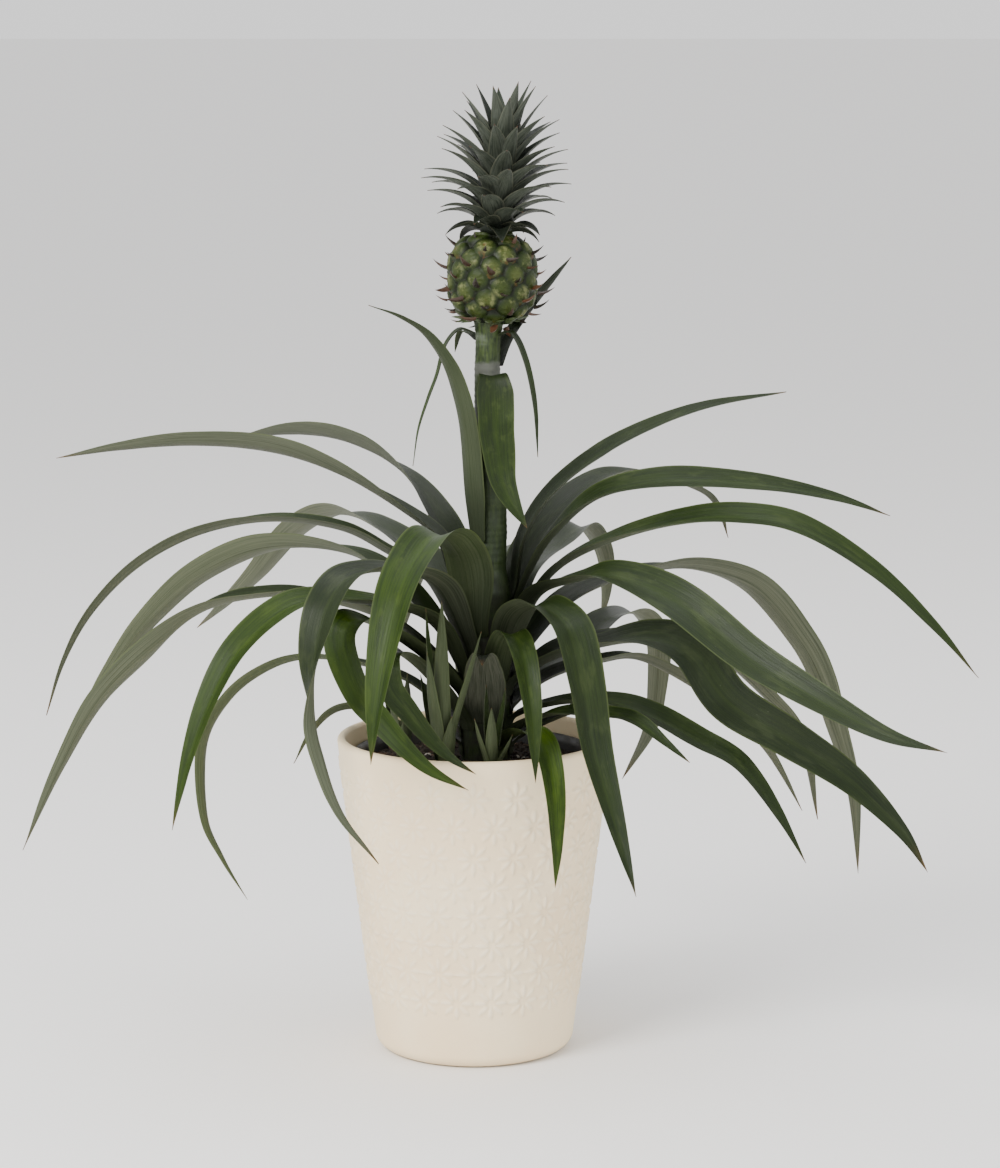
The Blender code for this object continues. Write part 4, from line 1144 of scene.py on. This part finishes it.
def spine_skin():
    """Dark red-brown to near black spines, dried to tan at some tips; the collar scales are green."""
    net = finish("spine skin", (0.05, 0.02, 0.015), 0.5)
    tone = attributes(net, "spine_tone")
    cloud = net.noise(net.place, 700.0, 3.0, 0.6)
    colour = net.mix(tone.ramp(0.30, 0.7), (0.010, 0.006, 0.003), (0.072, 0.027, 0.010))
    colour = net.mix(cloud.ramp(0.55, 0.75) * 0.4, colour, (0.09, 0.042, 0.016))
    leafy = net.mix(cloud, (0.016, 0.030, 0.006), (0.050, 0.070, 0.018))
    colour = net.mix(tone > 1.5, colour, leafy)
    return dress(net, colour, cloud.ramp(0.3, 0.7, 0.4, 0.65), cloud, 0.0002, 0.6)


def pineapple_fruit():
    lean = (stalk_x(FRUIT_BASE) + stalk_x(FRUIT_BASE + FRUIT_HEIGHT)) / 2
    spine = spine_shape(length=0.0084, wide=0.0020, curl=0.0036)
    scale = spine_shape(length=0.0085, wide=0.0026, curl=-0.0015, sides=6, levels=4)
    for helper in (spine, scale):
        bpy.context.scene.collection.objects.link(helper)
    tree = fruit_eyes(fruit_skin(), spine_skin(), spine, scale)
    made = grow(tree, fruit_barrel((lean, 0.0)), Eyes=56, Lean=lean, Swell=0.0020, Eye_Reach=0.0067,
                Scales=15)
    for helper in (spine, scale):
        bpy.data.objects.remove(helper)
    add_piece("pineapple_fruit_eyes", made, "pineapple_fruit", 60)


pineapple_fruit()

# ---- Crown ----
# The tuft on top of the fruit: sixty-six short stiff three-cornered leaves in a spiral. The lowest curl
# out and down over the fruit, the rest stand more and more upright. They are dull bluish green with a grey
# bloom, paler underneath, each with a fine sharp tip.

CROWN_TOP = 0.4925
# The leaves lean with the stalk: this far over at the lowest height, that far at the top.
CROWN_LOW = 0.417
CROWN_LEAN = (0.0110, 0.0170)


def crown_leaves(look):
    """Every leaf is one bent strip. Its number in the spiral gives its height, reach, rise and droop."""
    net = geometry_net("crown leaves")
    net.inlets("Geometry", "Geometry")
    count, rows, columns = net.inlets("Int", "Leaves", "Rows", "Columns")
    base, tall, thick = net.inlets("Float", "Base", "Height", "Thickness")
    number = net.node("GeometryNodeInputIndex")
    spots = net.node("GeometryNodePoints", {}, {"Count": count, "Position": (0.0, 0.0, 0.0)})
    leaves = net.copies(spots, flat_strip(net, rows, columns))
    leaves = net.keep(leaves, "leaf", number, domain="INSTANCE")
    for k, name in enumerate(("chance_a", "chance_b", "chance_c")):
        leaves = net.keep(leaves, name, net.chance(-1.0, 1.0, 3 + 7 * k), domain="INSTANCE")
    leaves = net.node("GeometryNodeRealizeInstances", {}, {"Geometry": leaves})
    along, across, leaf, luck, other, third = (
        net.stored(name) for name in ("along", "across", "leaf", "chance_a", "chance_b", "chance_c"))
    share = leaf / (count - 1)
    low = base + 0.0005 + tall * 0.49 * share ** 1.25
    skirt = (1 - share * 6).most(0.0)
    rise = share ** 1.1 * 0.52 + 0.86 - skirt * 0.60 + luck * 0.11
    droop = ((1 - share).most(0.0) ** 0.5 * 1.2 + 0.12 + other * 0.12).most(0.03)
    length = 0.021 + (share * 2.6).least(1.0) * 0.0195 - skirt * 0.0035 + third * 0.0016
    start = 0.0068 - share * 0.0050
    bend = rise - droop * along
    out = start + length / droop * (rise.sin() - bend.sin())
    up = low + length / droop * (bend.cos() - rise.cos())
    turn = leaf * GOLDEN_ANGLE + other * 0.12
    lean = net.node("ShaderNodeMapRange", {}, {"Value": up, "From Min": CROWN_LOW, "From Max": CROWN_TOP,
                                               "To Min": CROWN_LEAN[0], "To Max": CROWN_LEAN[1]})
    reach = (0.0072 - share * 0.0004) * (1 - along ** 1.7) * (0.76 + (along * 3).least(1.0) * 0.28)
    edge = abs(across)
    slope = 0.42 - along * 0.10
    lift = slope.sin() * reach * edge ** 1.4
    wide = slope.cos() * reach * across
    swell = (1 - across * across).most(0.0) ** 0.5 * (along * 30).least(1.0) * (1 - along * 0.7) * thick * 0.5

    def place_of(way):
        over = lift + swell * way
        far = out - bend.sin() * over
        high = up + bend.cos() * over
        return net.vector(turn.cos() * far - turn.sin() * wide + lean, turn.sin() * far + turn.cos() * wide,
                          high)

    return net.result(two_skins(net, leaves, place_of), look)


def crown_skin():
    """Dull blue-green, streaked, with grey bloom and a paler, greyer underside; the lowest leaves and the
    core are darkened with painted shade.
    """
    net = finish("crown skin", (0.06, 0.10, 0.07), 0.5, IOR=1.45, Specular_IOR_Level=0.3)
    along, across, leaf, luck, under = attributes(net, "along", "across", "leaf", "chance_a", "underside")
    streak = net.noise(net.vector(across * 5.0, along * 1.6, leaf * 1.7), 2.2, 4.0, 0.6)
    cloud = net.noise(net.place, 260.0, 3.0, 0.55)
    top = net.mix(streak.ramp(0.3, 0.7), (0.0035, 0.0062, 0.0042), (0.018, 0.026, 0.015))
    top = net.mix((luck * 0.5 + 0.5) * 0.35, top, (0.018, 0.032, 0.011))
    # Painted shade: the lowest leaves, under the rest of the crown, are painted darker, top and underside.
    shade = 1 - leaf.ramp(4.0, 15.0)
    top = net.mix(shade * 0.8, top, (0.004, 0.006, 0.003))
    back = net.mix(streak.ramp(0.3, 0.65), (0.020, 0.026, 0.018), (0.070, 0.080, 0.060))
    back = net.mix(shade * 0.7, back, (0.012, 0.015, 0.008))
    colour = net.layers(
        top,
        (under, back),
        (cloud.ramp(0.5, 0.72) * 0.22 * (1 - shade), (0.09, 0.10, 0.09)),
        (abs(across).ramp(0.86, 0.98) * 0.4, (0.15, 0.15, 0.10)),
        (along.ramp(0.93, 0.99) * 0.8, (0.085, 0.040, 0.022)),
        ((1 - along.ramp(0.0, 0.25)) * (1 - shade) * 0.3, (0.045, 0.060, 0.022)))
    return dress(net, colour, cloud.ramp(0.3, 0.7, 0.40, 0.62), streak, 0.0003, 0.7)


def crown():
    base = FRUIT_BASE + FRUIT_HEIGHT + PIECE_GAP
    look = crown_skin()
    seed = bpy.data.meshes.new("nothing")
    leaves = grow(crown_leaves(look), seed, Leaves=66, Base=base, Height=CROWN_TOP - base, Thickness=0.0011,
                  Rows=25, Columns=9)
    tall = CROWN_TOP - base
    outline = [(0.0, 0.0), (0.007, 0.0), (0.0088, 0.03), (0.0082, 0.3), (0.0052, 0.55), (0.0022, 0.7),
               (0.0, 0.72)]
    core = leaned(turned([(radius, base + tall * share) for radius, share in outline], 48))
    # The core keeps no leaf number, so the crown skin gives it the full painted shade.
    core.materials.append(look)
    add_piece("crown_leaves", together([core, leaves]), "crown")


crown()
